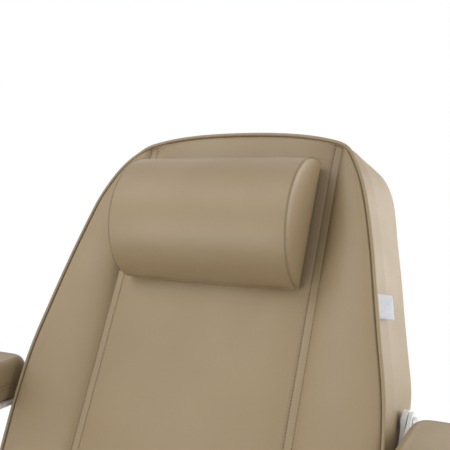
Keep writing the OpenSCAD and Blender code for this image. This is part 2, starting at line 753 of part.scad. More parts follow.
// Share of the crank at which the slot starts
slot_in_share = 0.865;
crank_t = 5;
crank_rim = 9;
crank_neck = 2;
crank_gap = 2;
module crank_pair(x, tube, tube_r, pin, reach) {
    inner = eye_w / 2 + crank_gap;
    out = pin / norm(pin);
    rim_r = spring_pin_r + slot_side + crank_rim;
    color([0.93, 0.93, 0.92]) translate([x, 0, 0]) for (side = [-1, 1]) on_side(side)
        across(inner, crank_t) difference() {
            union() {
                bar2d(out * reach * slot_in_share, out * reach, rim_r);
                bar2d(tube, out * reach * (1 + slot_in_share) / 2, rim_r - crank_neck);
            }
            bar2d(out * (reach * slot_in_share - slot_over), out * (reach + slot_over),
                  spring_pin_r + slot_side);
            translate(tube) circle(r = tube_r);
        }
}
function turned(p, a) = [p[0] * cos(a) + p[1] * sin(a), -p[0] * sin(a) + p[1] * cos(a)];
back_pin = turned(back_crank_r * [sin(recline / 2), -cos(recline / 2)], back_angle);
leg_pin = turned(leg_crank_r * [sin(leg_angle / 2), -cos(leg_angle / 2)], leg_angle);
module back_crank() {
    in_back() crank_pair(spring_x, back_tube_place, back_tube_r, back_pin, back_crank_r);
}

// Plywood board behind the foam, and the covered panel that closes the rear
back_in = 6;
// Shares of the half width at which the top edge's arc has its points
arc_shares = [0.75, 0.5, 0.25, 0, -0.25, -0.5, -0.75];
module back_outline(inset) {
    top = back_start + back_len + top_lean / 2;
    side = [for (r = back_shares)
        [back_w / 2 * r[1] + rear_grow + shoulder_flare * r[4] - inset,
         max(top - back_len * r[0] - inset * (1 - r[0]), back_start + inset)]];
    arc = [for (u = arc_shares) [u * side[0][0], top - inset - top_arc * u * u]];
    polygon(concat(backwards(side), arc, [for (p = side) [-p[0], p[1]]]));
}
module back_board() {
    color([0.72, 0.58, 0.4]) in_back() translate([0, 0, back_board_under])
        linear_extrude(back_board_t) back_outline(back_in);
}
module back_cover() {
    color([0.62, 0.56, 0.46]) in_back() translate([0, 0, cover_under])
        linear_extrude(cover_t) back_outline(2 * back_in);
}

// Outline of the backrest from its top edge down: share of the length, of half the width, of the
// top edge's arc, of the wing's rise and of the flare of the shoulders
top_arc = 22;
shoulder_flare = 22;
top_lean = 14;
back_shares = [
    [0.031, 0.6, 1, 0.1, 1], [0.066, 0.685, 0.8, 0.5, 0.95], [0.107, 0.742, 0.5, 0.8, 0.6],
    [0.18, 0.803, 0.2, 1, 0.3], [0.279, 0.863, 0, 1, 0.18], [0.353, 0.9, 0, 1, 0.18],
    [0.438, 0.937, 0, 1, 0.18], [0.502, 0.972, 0, 0.95, 0.15], [0.56, 0.995, 0, 0.9, 0],
    [0.66, 1, 0, 0.8, 0], [0.78, 1, 0, 0.7, 0], [0.9, 1, 0, 0.6, 0], [0.955, 0.985, 0, 0.5, 0],
    [0.985, 0.955, 0, 0.4, 0], [1, 0.9, 0, 0.3, 0]];
function back_row(r) =
    [back_start + back_len * (1 - r[0]) + top_arc * r[2], back_w / 2 * r[1], top_arc * r[2], r[3], 0,
     shoulder_flare * r[4]];
module back_cushion() {
    color([0.62, 0.56, 0.46]) in_back() translate([0, 0, foam_under])
        cushion([for (r = backwards(back_shares)) back_row(r)], back_thick, strip_u, top_lean);
}

// Blank cloth label sewn into the left side seam, lying on the band between two of its rows
label_w = 25;
label_l = 40;
label_t = 1.2;
label_in = 6;
label_rows = [5, 6];
module side_label() {
    upper = back_row(back_shares[label_rows[0]]);
    lower = back_row(back_shares[label_rows[1]]);
    slope = [lower[1] - upper[1], upper[0] - lower[0]];
    margin = (norm(slope) - label_l) / 2;
    bend = band_shares[0][0] * back_thick;
    front = back_thick - label_in;
    band = concat([for (i = [1, 0]) [band_shares[i][0] * back_thick,
                   band_shares[i][1] * band_bulge + lower[5] * (1 - band_shares[i][0])]],
                  [[back_thick - seam_dip + wing_rise / 3, 0]]);
    levels = [front - label_w, bend, front];
    inner = [for (z = levels) [lookup(z, band) + touch, z]];
    color([0.9, 0.92, 0.94]) in_back() translate([lower[1], lower[0], foam_under])
        rotate([0, 0, atan2(slope[0], slope[1])]) translate([0, margin + label_l, 0])
        rotate([90, 0, 0]) linear_extrude(label_l)
            polygon(concat(inner, backwards([for (p = inner) p + [label_t, 0]])));
}

// Two flat strips of hook and loop hold the pillow
strip_w = 30;
strip_t = 2.4;
strips_share = 0.5;
pillow_y = back_start + back_len - pillow_drop - pillow_h / 2;
strip_z = back_face + crown * face_shares[1][1] + touch;
module pillow_strips() {
    color([0.2, 0.2, 0.2]) in_back() for (x = [-1, 1])
        translate([x * pillow_w * strips_share / 2 - strip_w / 2, pillow_y - pillow_h / 4, strip_z])
            cube([strip_w, pillow_h / 2, strip_t]);
}

// Head pillow: a D-shaped bolster with its flat side on the backrest
pillow_turn = 12;
pillow_soft = 0.95;
// How far the ends draw in from the flat side
pillow_flat_share = 0.3;
// Share of the half width from the middle, share of the section there
pillow_shares = [[1.03, 0.55], [1.02, 0.8], [1, 0.93], [0.96, 0.985], [0.7, 1], [0.35, 1.01], [0, 1.01]];
function pillow_ring(x, share) =
    [for (a = [0:pillow_turn:180]) [x, soft(cos(a), pillow_soft) * pillow_h / 2 * share,
        soft(sin(a), pillow_soft) * pillow_d * share + pillow_d * (1 - share) * pillow_flat_share]];
module head_pillow() {
    half = pillow_w / 2 / pillow_shares[0][0];
    right = [for (p = pillow_shares) pillow_ring(p[0] * half, p[1])];
    left = [for (p = backwards(pillow_shares)) if (p[0] > 0) pillow_ring(-p[0] * half, p[1])];
    color([0.64, 0.58, 0.48]) in_back() translate([0, pillow_y, strip_z + strip_t + touch])
        skin(concat(right, left));
}

// Gas springs: a cylinder that swings on its anchor, and a rod that slides in it
spring_wall = 2;
rod_eye_r = 9;
back_spring_l = 195;
leg_spring_l = leg_reach * leg_spring_share;
gland = 12;
rod_in = 16;
back_pin_rest = [hinge_y, hinge_z] + back_crank_r * [sin(recline / 2), -cos(recline / 2)];
leg_pin_rest = [leg_hinge_y, leg_hinge_z] + leg_crank_r * [sin(leg_angle / 2), -cos(leg_angle / 2)];
leg_pin_up = [leg_hinge_y, leg_hinge_z] + leg_crank_r * [-sin(leg_angle / 2), -cos(leg_angle / 2)];
leg_stroke = norm(leg_pin_up - leg_anchor) - norm(leg_pin_rest - leg_anchor);
// Lays a part that runs along +Y from the anchor onto the line to the pin
module along_spring(x, from, to) {
    translate([x, from[0], from[1]]) rotate([atan2(to[1] - from[1], to[0] - from[0]), 0, 0]) children();
}
module y_rod(y, l, r) { translate([0, y, 0]) rotate([-90, 0, 0]) cylinder(h = l, r = r); }
module spring_cylinder(l) {
    tube_from = eye_r + spring_rod_r;
    difference() {
        union() {
            x_rod(-eye_w / 2, eye_w, eye_r);
            y_rod(eye_r / 2, tube_from, eye_w / 2 - touch);
            y_rod(tube_from, l - tube_from - gland / 4, spring_r);
            y_rod(tube_from, l - tube_from, spring_r - gland / 4);
        }
        x_rod(-eye_w / 2 - cut, eye_w + 2 * cut, spring_pin_r + run);
        y_rod(l - gland, gland + cut, spring_rod_r + run);
        y_rod(tube_from + spring_wall, l - tube_from - spring_wall - gland, spring_r - spring_wall);
    }
}
module back_spring_cylinder() {
    color([0.15, 0.15, 0.16]) along_spring(spring_x, back_anchor, back_pin_rest)
        spring_cylinder(back_spring_l);
}
module rod_with_pin(l, reach, deep) {
    pin_l = 2 * (eye_w / 2 + crank_gap + crank_t + crank_gap);
    y_rod(l - gland - deep, reach - l + gland + deep, spring_rod_r);
    y_rod(l - gland - deep, spring_rod_r, spring_r - spring_wall - touch);
    translate([0, reach, 0]) {
        x_rod(-eye_w / 2, eye_w, rod_eye_r);
        x_rod(-pin_l / 2, pin_l, spring_pin_r);
        for (side = [-1, 1]) on_side(side) x_rod(pin_l / 2, pin_head, spring_pin_r + slot_side + pin_head);
    }
}
module back_spring_rod() {
    color([0.8, 0.8, 0.82]) along_spring(spring_x, back_anchor, back_pin_rest)
        rod_with_pin(back_spring_l, norm(back_pin_rest - back_anchor), rod_in);
}
module leg_spring_cylinder() {
    color([0.15, 0.15, 0.16]) along_spring(-spring_x, leg_anchor, leg_pin_rest)
        spring_cylinder(leg_spring_l);
}
module leg_spring_rod() {
    color([0.8, 0.8, 0.82]) along_spring(-spring_x, leg_anchor, leg_pin_rest)
        rod_with_pin(leg_spring_l, norm(leg_pin_rest - leg_anchor), rod_in + leg_stroke);
}

// Leg rest: two flat arms beside the rails, a round cross tube, a crank, a board and a cushion
leg_arm_r = 15;
leg_bush_t = 2;
leg_tube_place = [-50, -8];
leg_bar_h = 22;
weld_in = 1;
leg_arm_to = -380;
leg_half = 292;
leg_board_t = 12;
leg_taper_share = 0.86;
module leg_arm(side) {
    bend = -leg_start - leg_arm_r / 2;
    color([0.93, 0.93, 0.92]) in_leg() on_side(side) difference() {
        across(leg_arm_x, leg_arm_t) {
            bar2d([0, 0], leg_tube_place, leg_arm_r);
            bar2d(leg_tube_place, [bend - leg_arm_r - leg_bar_h, leg_rise - leg_bar_h / 2],
                  leg_bar_h / 2 - weld_in);
            translate([leg_arm_to, leg_rise - leg_bar_h])
                square([bend - leg_arm_r - leg_arm_to, leg_bar_h]);
        }
        x_rod(leg_arm_x - cut, leg_arm_t + 2 * cut, pin_r + leg_bush_t);
    }
}
module leg_arm_left() { leg_arm(LEFT); }
module leg_arm_right() { leg_arm(RIGHT); }
module leg_hinge_bushes() {
    color([0.75, 0.6, 0.3]) in_leg() for (side = [-1, 1]) on_side(side) difference() {
        union() {
            x_rod(leg_arm_x, leg_arm_t, pin_r + leg_bush_t);
            x_rod(leg_arm_x - side_gap + touch, side_gap - touch, leg_arm_r - leg_bush_t);
        }
        x_rod(leg_arm_x - side_gap, leg_arm_t + side_gap + cut, pin_r + run);
    }
}
module leg_cross_tube() {
    color([0.93, 0.93, 0.92]) in_leg() translate([0, leg_tube_place[0], leg_tube_place[1]]) difference() {
        x_rod(-leg_arm_x, 2 * leg_arm_x, back_tube_r);
        x_rod(-leg_arm_x - cut, 2 * (leg_arm_x + cut), back_tube_r - tube_wall);
    }
}
module leg_crank() { in_leg() crank_pair(-spring_x, leg_tube_place, back_tube_r, leg_pin, leg_crank_r); }
module leg_board() {
    l = leg_len - 2 * seat_board_in;
    w = 2 * leg_half * leg_taper_share - 2 * seat_board_in;
    color([0.72, 0.58, 0.4]) in_leg() translate([0, -leg_start - leg_len / 2, leg_rise])
        linear_extrude(leg_board_t) round_rect(w, l, corner_r);
}
leg_wing_share = 0.6;
module leg_cushion() {
    foot = -leg_start - leg_len;
    inner = leg_len - 2 * corner_r;
    function taper(y) = 1 - (1 - leg_taper_share) * (-leg_start - y) / leg_len;
    near = corner_rows(foot, -1, leg_half * leg_taper_share, leg_wing_share, strip_dip);
    far = backwards(corner_rows(-leg_start, 1, leg_half, leg_wing_share, strip_dip));
    mid = [for (i = [1:seat_steps]) let (y = foot + corner_r + inner * i / (seat_steps + 1))
        [y, leg_half * taper(y), 0, leg_wing_share, 0]];
    color([0.62, 0.56, 0.46]) in_leg() translate([0, 0, leg_rise + leg_board_t])
        cushion(concat(near, mid, far), leg_thick, strip_u);
}

// Release levers: a cranked bar on a pin under the rail, with a grip beside the seat
lever_r = 6;
lever_eye = 11;
lever_eye_l = 16;
lever_grip_l = 95;
lever_grip_r = 12;
lever_pivot_x = 176;
lever_out = 318;
lever_drop = 16;
lever_z = rail_under - lever_drop;
back_lever_y = -62;
leg_lever_y = 36;
grip_grooves = 5;
groove_r = 2;
groove_out = 1;
module lever(side, y) {
    bend = lever_out - lever_grip_l - lever_grip_r;
    color([0.93, 0.93, 0.92]) on_side(side) translate([0, y, lever_z]) rotate([90, 0, 0]) difference() {
        union() {
            translate([lever_pivot_x, 0, 0]) cylinder(h = lever_eye_l, r = lever_eye, center = true);
            translate([0, 0, -lever_r / 2]) linear_extrude(lever_r)
                bar2d([lever_pivot_x, 0], [bend, -lever_grip_r], lever_r);
            translate([0, -lever_grip_r, 0]) x_rod(bend - lever_r, lever_grip_l, lever_r);
        }
        translate([lever_pivot_x, 0, 0])
            cylinder(h = lever_eye_l + 2 * cut, r = spring_pin_r + run, center = true);
    }
}
module lever_grip(side, y) {
    bore = lever_grip_l - lever_grip_r - lever_r + touch;
    color([0.12, 0.12, 0.12]) on_side(side)
        translate([lever_out - lever_grip_l, y, lever_z - lever_grip_r]) rotate([0, 90, 0]) difference() {
            rotate_extrude() difference() {
                union() {
                    square([lever_grip_r, lever_grip_l - lever_grip_r]);
                    translate([0, lever_grip_l - lever_grip_r]) intersection() {
                        circle(r = lever_grip_r);
                        square(lever_grip_r);
                    }
                }
                for (i = [1:grip_grooves])
                    translate([lever_grip_r + groove_out, i * bore / (grip_grooves + 1)])
                        circle(r = groove_r);
            }
            translate([0, 0, -cut]) cylinder(h = bore + cut, r = lever_r);
        }
}
module back_lever() { lever(LEFT, back_lever_y); }
module leg_lever() { lever(RIGHT, leg_lever_y); }
module back_lever_grip() { lever_grip(LEFT, back_lever_y); }
module leg_lever_grip() { lever_grip(RIGHT, leg_lever_y); }
module lever_mounts() {
    cheek = 3;
    for (m = [[LEFT, back_lever_y], [RIGHT, leg_lever_y]])
        color([0.93, 0.93, 0.92]) on_side(m[0]) translate([0, m[1], 0]) rotate([90, 0, 0]) {
            for (side = [-1, 1]) translate([0, 0, side * (lever_eye_l / 2 + touch + cheek / 2)])
                linear_extrude(cheek, center = true) {
                    translate([lever_pivot_x, lever_z]) circle(r = lever_eye);
                    translate([lever_pivot_x - lever_eye, lever_z])
                        square([rail_x - lever_pivot_x + lever_eye, lever_drop]);
                }
            translate([lever_pivot_x, lever_z, 0])
                cylinder(h = lever_eye_l + 2 * cheek, r = spring_pin_r, center = true);
        }
}

base_mat();
base_plate();
base_cover();
pump_body();
pump_collar();
pump_bolts();
pedal_pin();
piston();
thrust_washer();
pedal_lever();
pedal_pad();
swivel_head();
head_bolts();
seat_rail_left();
seat_rail_right();
seat_cross_front();
seat_cross_rear();
rail_end_caps();
seat_board();
seat_cushion();
back_hinge_plates();
back_hinge_pins();
leg_hinge_pins();
spring_anchors();
arm_bracket_left();
arm_bracket_right();
arm_pivot_bolts();
lever_mounts();
back_rail_left();
back_rail_right();
back_cross_tube();
back_crank();
back_hinge_bushes();
back_board();
back_cover();
back_cushion();
side_label();
pillow_strips();
head_pillow();
back_spring_cylinder();
back_spring_rod();
leg_arm_left();
leg_arm_right();
leg_cross_tube();
leg_crank();
leg_hinge_bushes();
leg_board();
leg_cushion();
leg_spring_cylinder();
leg_spring_rod();
back_lever();
back_lever_grip();
leg_lever();
leg_lever_grip();
arm_carrier_left();
arm_carrier_right();
arm_pad_left();
arm_pad_right();
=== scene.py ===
import json
import math

import bmesh
import bpy
from mathutils import Matrix, Vector, noise


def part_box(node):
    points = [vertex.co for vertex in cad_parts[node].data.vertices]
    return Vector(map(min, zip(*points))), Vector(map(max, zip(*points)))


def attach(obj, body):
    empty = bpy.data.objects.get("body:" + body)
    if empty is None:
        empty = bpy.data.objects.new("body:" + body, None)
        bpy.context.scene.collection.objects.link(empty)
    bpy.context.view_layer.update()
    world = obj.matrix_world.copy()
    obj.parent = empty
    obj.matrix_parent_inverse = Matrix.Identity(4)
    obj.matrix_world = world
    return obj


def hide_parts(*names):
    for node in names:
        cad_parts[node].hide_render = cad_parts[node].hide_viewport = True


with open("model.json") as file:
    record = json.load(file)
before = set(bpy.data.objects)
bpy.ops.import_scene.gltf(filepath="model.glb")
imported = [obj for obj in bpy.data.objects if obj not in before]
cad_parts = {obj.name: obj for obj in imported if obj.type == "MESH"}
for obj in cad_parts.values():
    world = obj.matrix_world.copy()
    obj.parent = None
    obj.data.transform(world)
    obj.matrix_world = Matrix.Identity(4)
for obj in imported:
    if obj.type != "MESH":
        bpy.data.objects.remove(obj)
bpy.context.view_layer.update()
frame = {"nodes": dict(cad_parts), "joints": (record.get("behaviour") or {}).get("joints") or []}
nodes = frame["nodes"]

# The camera stands on the sitter's left at head height, 1.2 m from the backrest's top, and looks
# back and a little down at it. 56 mm on a 36 mm sensor.
camera_place = Vector((0.512, -0.521, 1.201))
camera_azimuth = math.radians(27.1)
camera_elevation = math.radians(4.6)
camera_data = bpy.data.cameras.new("camera")
camera_data.lens = 56
camera_data.sensor_width = 36
camera = bpy.data.objects.new("camera", camera_data)
bpy.context.scene.collection.objects.link(camera)
towards_camera = Vector((math.sin(camera_azimuth) * math.cos(camera_elevation),
                         -math.cos(camera_azimuth) * math.cos(camera_elevation),
                         math.sin(camera_elevation)))
camera.location = camera_place
camera.rotation_mode = "QUATERNION"
camera.rotation_quaternion = (-towards_camera).to_track_quat("-Z", "Y")
bpy.context.scene.camera = camera

# Base: a steel plate on a black rubber mat, with a pressed dome over the foot of the pump.
# Plate, dome, swivel head, frame tubes and brackets are steel, powder-coated white in an oven,
# which leaves a fine orange peel.

# A noise's values lie mostly between these
NOISE_LOW, NOISE_HIGH = 0.3, 0.7


def new_finish(name, colour, metallic, roughness):
    """A material with its shader and the object coordinates that its patterns follow."""
    material = bpy.data.materials.new(name)
    material.use_nodes = True
    tree = material.node_tree
    shader = tree.nodes["Principled BSDF"]
    shader.inputs["Base Color"].default_value = (*colour, 1)
    shader.inputs["Metallic"].default_value = metallic
    shader.inputs["Roughness"].default_value = roughness
    coords = tree.nodes.new("ShaderNodeTexCoord").outputs["Object"]
    return material, tree, shader, coords


def mottle(tree, coords, scale, detail, low=0, high=1, stretch=(1, 1, 1)):
    """Noise in the object's own space, with scale patches to a metre, spread from low to high."""
    turn = tree.nodes.new("ShaderNodeMapping")
    turn.inputs["Scale"].default_value = stretch
    tree.links.new(coords, turn.inputs["Vector"])
    cloud = tree.nodes.new("ShaderNodeTexNoise")
    cloud.inputs["Scale"].default_value = scale
    cloud.inputs["Detail"].default_value = detail
    tree.links.new(turn.outputs["Vector"], cloud.inputs["Vector"])
    spread = tree.nodes.new("ShaderNodeMapRange")
    spread.inputs["From Min"].default_value = NOISE_LOW
    spread.inputs["From Max"].default_value = NOISE_HIGH
    spread.inputs["To Min"].default_value = low
    spread.inputs["To Max"].default_value = high
    tree.links.new(cloud.outputs["Fac"], spread.inputs["Value"])
    return spread.outputs["Result"]


def blended(tree, factor, first, second):
    """A colour node between a tone or another node's colour and a second tone."""
    blend = tree.nodes.new("ShaderNodeMix")
    blend.data_type = "RGBA"
    if isinstance(first, tuple):
        blend.inputs["A"].default_value = (*first, 1)
    else:
        tree.links.new(first, blend.inputs["A"])
    blend.inputs["B"].default_value = (*second, 1)
    tree.links.new(factor, blend.inputs["Factor"])
    return blend.outputs["Result"]


def two_tone(tree, shader, factor, first, second):
    """The base colour wanders between two tones."""
    tree.links.new(blended(tree, factor, first, second), shader.inputs["Base Color"])


def roughen(tree, shader, value):
    """The roughness follows a pattern."""
    tree.links.new(value, shader.inputs["Roughness"])


def relief(tree, shader, height, depth):
    """Bump of a real depth in metres."""
    bump = tree.nodes.new("ShaderNodeBump")
    bump.inputs["Strength"].default_value = 1
    bump.inputs["Distance"].default_value = depth
    tree.links.new(height, bump.inputs["Height"])
    tree.links.new(bump.outputs["Normal"], shader.inputs["Normal"])


def paint(material, *names):
    """Gives carried-over nodes a material."""
    for name in names:
        mesh = nodes[name].data
        if not mesh.materials:
            mesh.materials.append(material)
        for place in range(len(mesh.materials)):
            mesh.materials[place] = material


white_steel, tree, shader, coords = new_finish("white_powder_coat", (0.80, 0.80, 0.78), 0, 0.35)
two_tone(tree, shader, mottle(tree, coords, 9, 3), (0.79, 0.79, 0.77), (0.83, 0.83, 0.81))
roughen(tree, shader, mottle(tree, coords, 60, 2, low=0.3, high=0.42))
relief(tree, shader, mottle(tree, coords, 900, 2), depth=0.00005)
paint(white_steel, "base_plate", "base_cover", "swivel_head", "seat_rail_left", "seat_rail_right",
      "seat_cross_front", "seat_cross_rear", "back_hinge_plates", "spring_anchors",
      "arm_bracket_left", "arm_bracket_right", "arm_carrier_left", "arm_carrier_right",
      "back_rail_left", "back_rail_right", "back_cross_tube", "back_crank",
      "leg_arm_left", "leg_arm_right", "leg_cross_tube", "leg_crank",
      "back_lever", "leg_lever", "lever_mounts")

rubber, tree, shader, coords = new_finish("black_rubber", (0.02, 0.02, 0.021), 0, 0.8)
two_tone(tree, shader, mottle(tree, coords, 25, 4),
         (0.016, 0.016, 0.017), (0.035, 0.034, 0.033))
roughen(tree, shader, mottle(tree, coords, 120, 3, low=0.7, high=0.9))
relief(tree, shader, mottle(tree, coords, 1400, 3), depth=0.00012)
paint(rubber, "base_mat", "pedal_pad")

# Pump: a cast iron body painted dark grey, closed by a turned collar, on four hex bolts.
# The casting keeps its sand grain under the paint, and the turned pieces their fine tool marks.
dark_casting, tree, shader, coords = new_finish("dark_casting", (0.05, 0.05, 0.055), 0, 0.5)
two_tone(tree, shader, mottle(tree, coords, 18, 4),
         (0.043, 0.044, 0.048), (0.068, 0.068, 0.072))
roughen(tree, shader, mottle(tree, coords, 90, 3, low=0.42, high=0.62))
relief(tree, shader, mottle(tree, coords, 500, 5), depth=0.0003)
paint(dark_casting, "pump_body", "pedal_lever")

chrome, tree, shader, coords = new_finish("hard_chrome", (0.78, 0.79, 0.8), 1, 0.08)
roughen(tree, shader, mottle(tree, coords, 30, 4, low=0.06, high=0.16))
relief(tree, shader, mottle(tree, coords, 60, 2, stretch=(1, 1, 60)), depth=0.000008)
paint(chrome, "piston", "pump_collar", "back_spring_rod", "leg_spring_rod")

zinc_steel, tree, shader, coords = new_finish("zinc_plated_steel", (0.62, 0.63, 0.65), 1, 0.35)
two_tone(tree, shader, mottle(tree, coords, 120, 4), (0.55, 0.57, 0.6), (0.7, 0.7, 0.69))
roughen(tree, shader, mottle(tree, coords, 200, 4, low=0.25, high=0.5))
relief(tree, shader, mottle(tree, coords, 1500, 3), depth=0.00003)
paint(zinc_steel, "pump_bolts", "pedal_pin", "head_bolts", "back_hinge_pins", "leg_hinge_pins",
      "arm_pivot_bolts")

# Bearings: sintered bronze bushes pressed into the hinges and a bronze thrust washer under the
# swivel head. The sintered metal is fine-grained and dull.
bronze, tree, shader, coords = new_finish("sintered_bronze", (0.55, 0.37, 0.16), 1, 0.45)
two_tone(tree, shader, mottle(tree, coords, 400, 4), (0.44, 0.29, 0.12), (0.62, 0.43, 0.2))
roughen(tree, shader, mottle(tree, coords, 300, 3, low=0.38, high=0.55))
relief(tree, shader, mottle(tree, coords, 2500, 3), depth=0.00005)
paint(bronze, "thrust_washer", "back_hinge_bushes", "leg_hinge_bushes")

# Gas springs: drawn steel cylinders in black gloss paint, with hard chromed rods. Each hangs
# between an anchor on the seat frame and the crank of the part that it holds.
spring_paint, tree, shader, coords = new_finish("black_spring_paint",
                                                (0.015, 0.015, 0.017), 0, 0.22)
two_tone(tree, shader, mottle(tree, coords, 60, 4), (0.012, 0.012, 0.014), (0.028, 0.028, 0.03))
roughen(tree, shader, mottle(tree, coords, 150, 3, low=0.18, high=0.34))
relief(tree, shader, mottle(tree, coords, 900, 2), depth=0.00003)
paint(spring_paint, "back_spring_cylinder", "leg_spring_cylinder")

# Moulded pieces: end caps in black polypropylene on the rails and grips in ribbed soft vinyl on the
# levers, all pushed on.
black_plastic, tree, shader, coords = new_finish("black_moulded_plastic",
                                                 (0.025, 0.025, 0.026), 0, 0.45)
two_tone(tree, shader, mottle(tree, coords, 40, 3),
         (0.022, 0.022, 0.023), (0.036, 0.036, 0.037))
roughen(tree, shader, mottle(tree, coords, 150, 3, low=0.4, high=0.55))
relief(tree, shader, mottle(tree, coords, 1800, 3), depth=0.00006)
paint(black_plastic, "rail_end_caps", "back_lever_grip", "leg_lever_grip")

# Boards: birch plywood, sawn and sanded, screwed to the frame under each foam.
# Seen from above they have long grain, and their edges show the layers.
plywood, tree, shader, coords = new_finish("birch_plywood", (0.62, 0.46, 0.28), 0, 0.6)
grain = mottle(tree, coords, 30, 6, stretch=(14, 0.6, 14))
two_tone(tree, shader, grain, (0.5, 0.35, 0.19), (0.68, 0.52, 0.34))
roughen(tree, shader, mottle(tree, coords, 60, 3, low=0.5, high=0.7))
relief(tree, shader, grain, depth=0.0002)
paint(plywood, "seat_board", "back_board", "leg_board")

# Upholstery: every pad is foam on a board under a sewn cover of taupe leatherette, a soft vinyl
# skin with a fine pressed grain. The face panel meets the side band in a seam with a piped cord.
LIGHT_TAUPE = (0.333, 0.248, 0.143)
DARK_TAUPE = (0.317, 0.235, 0.134)
# The dark brown of the painted shade at seams, stitched lines and beside the cord
PAINTED_SEAM_SHADE = (0.07, 0.05, 0.032)
GLOSS_LOW, GLOSS_HIGH = 0.4, 0.5
GRAIN_CELLS = 750
GRAIN_DEPTH = 0.00012


def leatherette(name):
    """Soft vinyl: two close tones, a satin gloss that wanders, a fine pressed grain, and painted
    shade where the seam_shade attribute marks the seams.
    """
    material, tree, shader, coords = new_finish(name, LIGHT_TAUPE, 0, 0.45)
    slow = mottle(tree, coords, 9, 2)
    tone = blended(tree, slow, LIGHT_TAUPE, DARK_TAUPE)
    gloss = tree.nodes.new("ShaderNodeMapRange")
    gloss.inputs["To Min"].default_value = GLOSS_LOW
    gloss.inputs["To Max"].default_value = GLOSS_HIGH
    tree.links.new(slow, gloss.inputs["Value"])
    roughen(tree, shader, gloss.outputs["Result"])
    cells = tree.nodes.new("ShaderNodeTexVoronoi")
    cells.inputs["Scale"].default_value = GRAIN_CELLS
    tree.links.new(coords, cells.inputs["Vector"])
    relief(tree, shader, cells.outputs["Distance"], GRAIN_DEPTH)
    # Painted shade: the colour darkens towards a dark brown where the seam_shade attribute marks
    # seams, stitched lines and the band beside the cord
    shade = tree.nodes.new("ShaderNodeAttribute")
    shade.attribute_name = "seam_shade"
    two_tone(tree, shader, shade.outputs["Fac"], tone, PAINTED_SEAM_SHADE)
    return material


taupe = leatherette("taupe_leatherette")
piping_taupe = leatherette("taupe_piping")

thread, tree, shader, coords = new_finish("taupe_thread", (0.07, 0.05, 0.032), 0, 0.6)
two_tone(tree, shader, mottle(tree, coords, 900, 3), (0.055, 0.04, 0.026), (0.1, 0.075, 0.048))
relief(tree, shader, mottle(tree, coords, 3000, 2), depth=0.0001)

# The pads are drawn in mm, and their place brings them to metres. Each cushion has two raised
# strips, and each strip is sewn down by a line of stitches on both sides. The panel lies between
# the strips, and a wing outside each of them
TO_MM = 1000
MM = Matrix.Scale(1 / TO_MM, 4)
STRIP = 170
STITCH_ROWS = 6
INNER_LINE = STRIP - STITCH_ROWS
OUTER_LINE = STRIP + STITCH_ROWS
STRIP_RIDGE = 0.3
# How deep the thread pulls the cover in and the foam gives beside it, and how far each reaches
GROOVE, GROOVE_REACH = 1.3, 2.2
VALLEY, PANEL_REACH, WING_REACH = 2.6, 22, 7
# A wing: where on its width its crest lies, how steeply it climbs there, how much it falls to the
# cord, the least width that is reckoned with, and the width below which its valley grows shallow
WING_CREST = 0.78
WING_CLIMB = 2.6
WING_FALL = 0.3
LEAST_WING = 2
NARROW_WING = 12
# Columns: distances in mm from a stitched line, and shares of a strip's and a wing's width. No
# column of the panel comes nearer than MIDDLE_GAP to the middle one
PANEL_STEPS = (0, 1.5, 3.5, 6.5, 11, 18, 28, 42, 60, 82, 108, 136)
STRIP_STEPS = (0.12, 0.35, 0.65, 0.88, 1)
WING_STEPS = (0.015, 0.035, 0.07, 0.12, 0.19, 0.27, 0.36, 0.46, 0.56, 0.66, 0.75, 0.83, 0.9, 0.95,
              0.98, 1)
MIDDLE_GAP = 4


def wing_room(half):
    """A wing's width where the cushion is half wide to each side."""
    return max(half - OUTER_LINE, LEAST_WING)


def wing_height(share):
    """A wing climbs steeply from its strip to a crest near the seam, and rolls over to the cord."""
    if share < WING_CREST:
        return 1 - (1 - share / WING_CREST) ** WING_CLIMB
    return 1 - WING_FALL * ((share - WING_CREST) / (1 - WING_CREST)) ** 2


def dip_beside(distance, reach):
    """How deep the cover lies beside a stitched line."""
    return (GROOVE * math.exp(-(distance / GROOVE_REACH) ** 2)
            + VALLEY * math.exp(-(distance / reach) ** 2))


def face_section(half, crown, wing):
    """Points across a face from one seam to the other: place across, height over its plane."""
    wide = wing_room(half)
    right = [(0, crown)]
    for step in reversed(PANEL_STEPS):
        u = INNER_LINE - step
        if u > MIDDLE_GAP:
            right.append((u, crown * (1 - (u / INNER_LINE) ** 2) - dip_beside(step, PANEL_REACH)))
    for share in STRIP_STEPS:
        ridge = 1 - (2 * share - 1) ** 4
        right.append((INNER_LINE + share * (OUTER_LINE - INNER_LINE),
                      -GROOVE - VALLEY + STRIP_RIDGE * ridge))
    for share in WING_STEPS:
        d = share * wide
        dip = dip_beside(d, WING_REACH) * min(1, wide / NARROW_WING)
        right.append((OUTER_LINE + d, wing * wing_height(share) - dip))
    return [(-u, h) for u, h in reversed(right[1:])] + right


def smooth_piece(name, mesh):
    """An object at the origin with smooth faces."""
    mesh.polygons.foreach_set("use_smooth", [True] * len(mesh.polygons))
    piece = bpy.data.objects.new(name, mesh)
    bpy.context.scene.collection.objects.link(piece)
    return piece


def finished(name, bm, material, smooth_levels=0):
    """Turns a bmesh into an object with its material, rounded where it is upholstery."""
    mesh = bpy.data.meshes.new(name)
    bm.to_mesh(mesh)
    bm.free()
    mesh.materials.append(material)
    piece = smooth_piece(name, mesh)
    if smooth_levels:
        rounder = piece.modifiers.new("rounder", "SUBSURF")
        rounder.levels = smooth_levels
        rounder.render_levels = smooth_levels
    return piece


def next_ring(bm, edges, rim):
    """Extrudes a rim. Gives the new edges, and the new points with what their sources held."""
    grown = bmesh.ops.extrude_edge_only(bm, edges=edges)["geom"]
    fresh = [g for g in grown if isinstance(g, bmesh.types.BMVert)]
    edges = [g for g in grown if isinstance(g, bmesh.types.BMEdge)]
    return edges, {v: rim[next(e.other_vert(v) for e in v.link_edges if e.other_vert(v) in rim)]
                   for v in fresh}


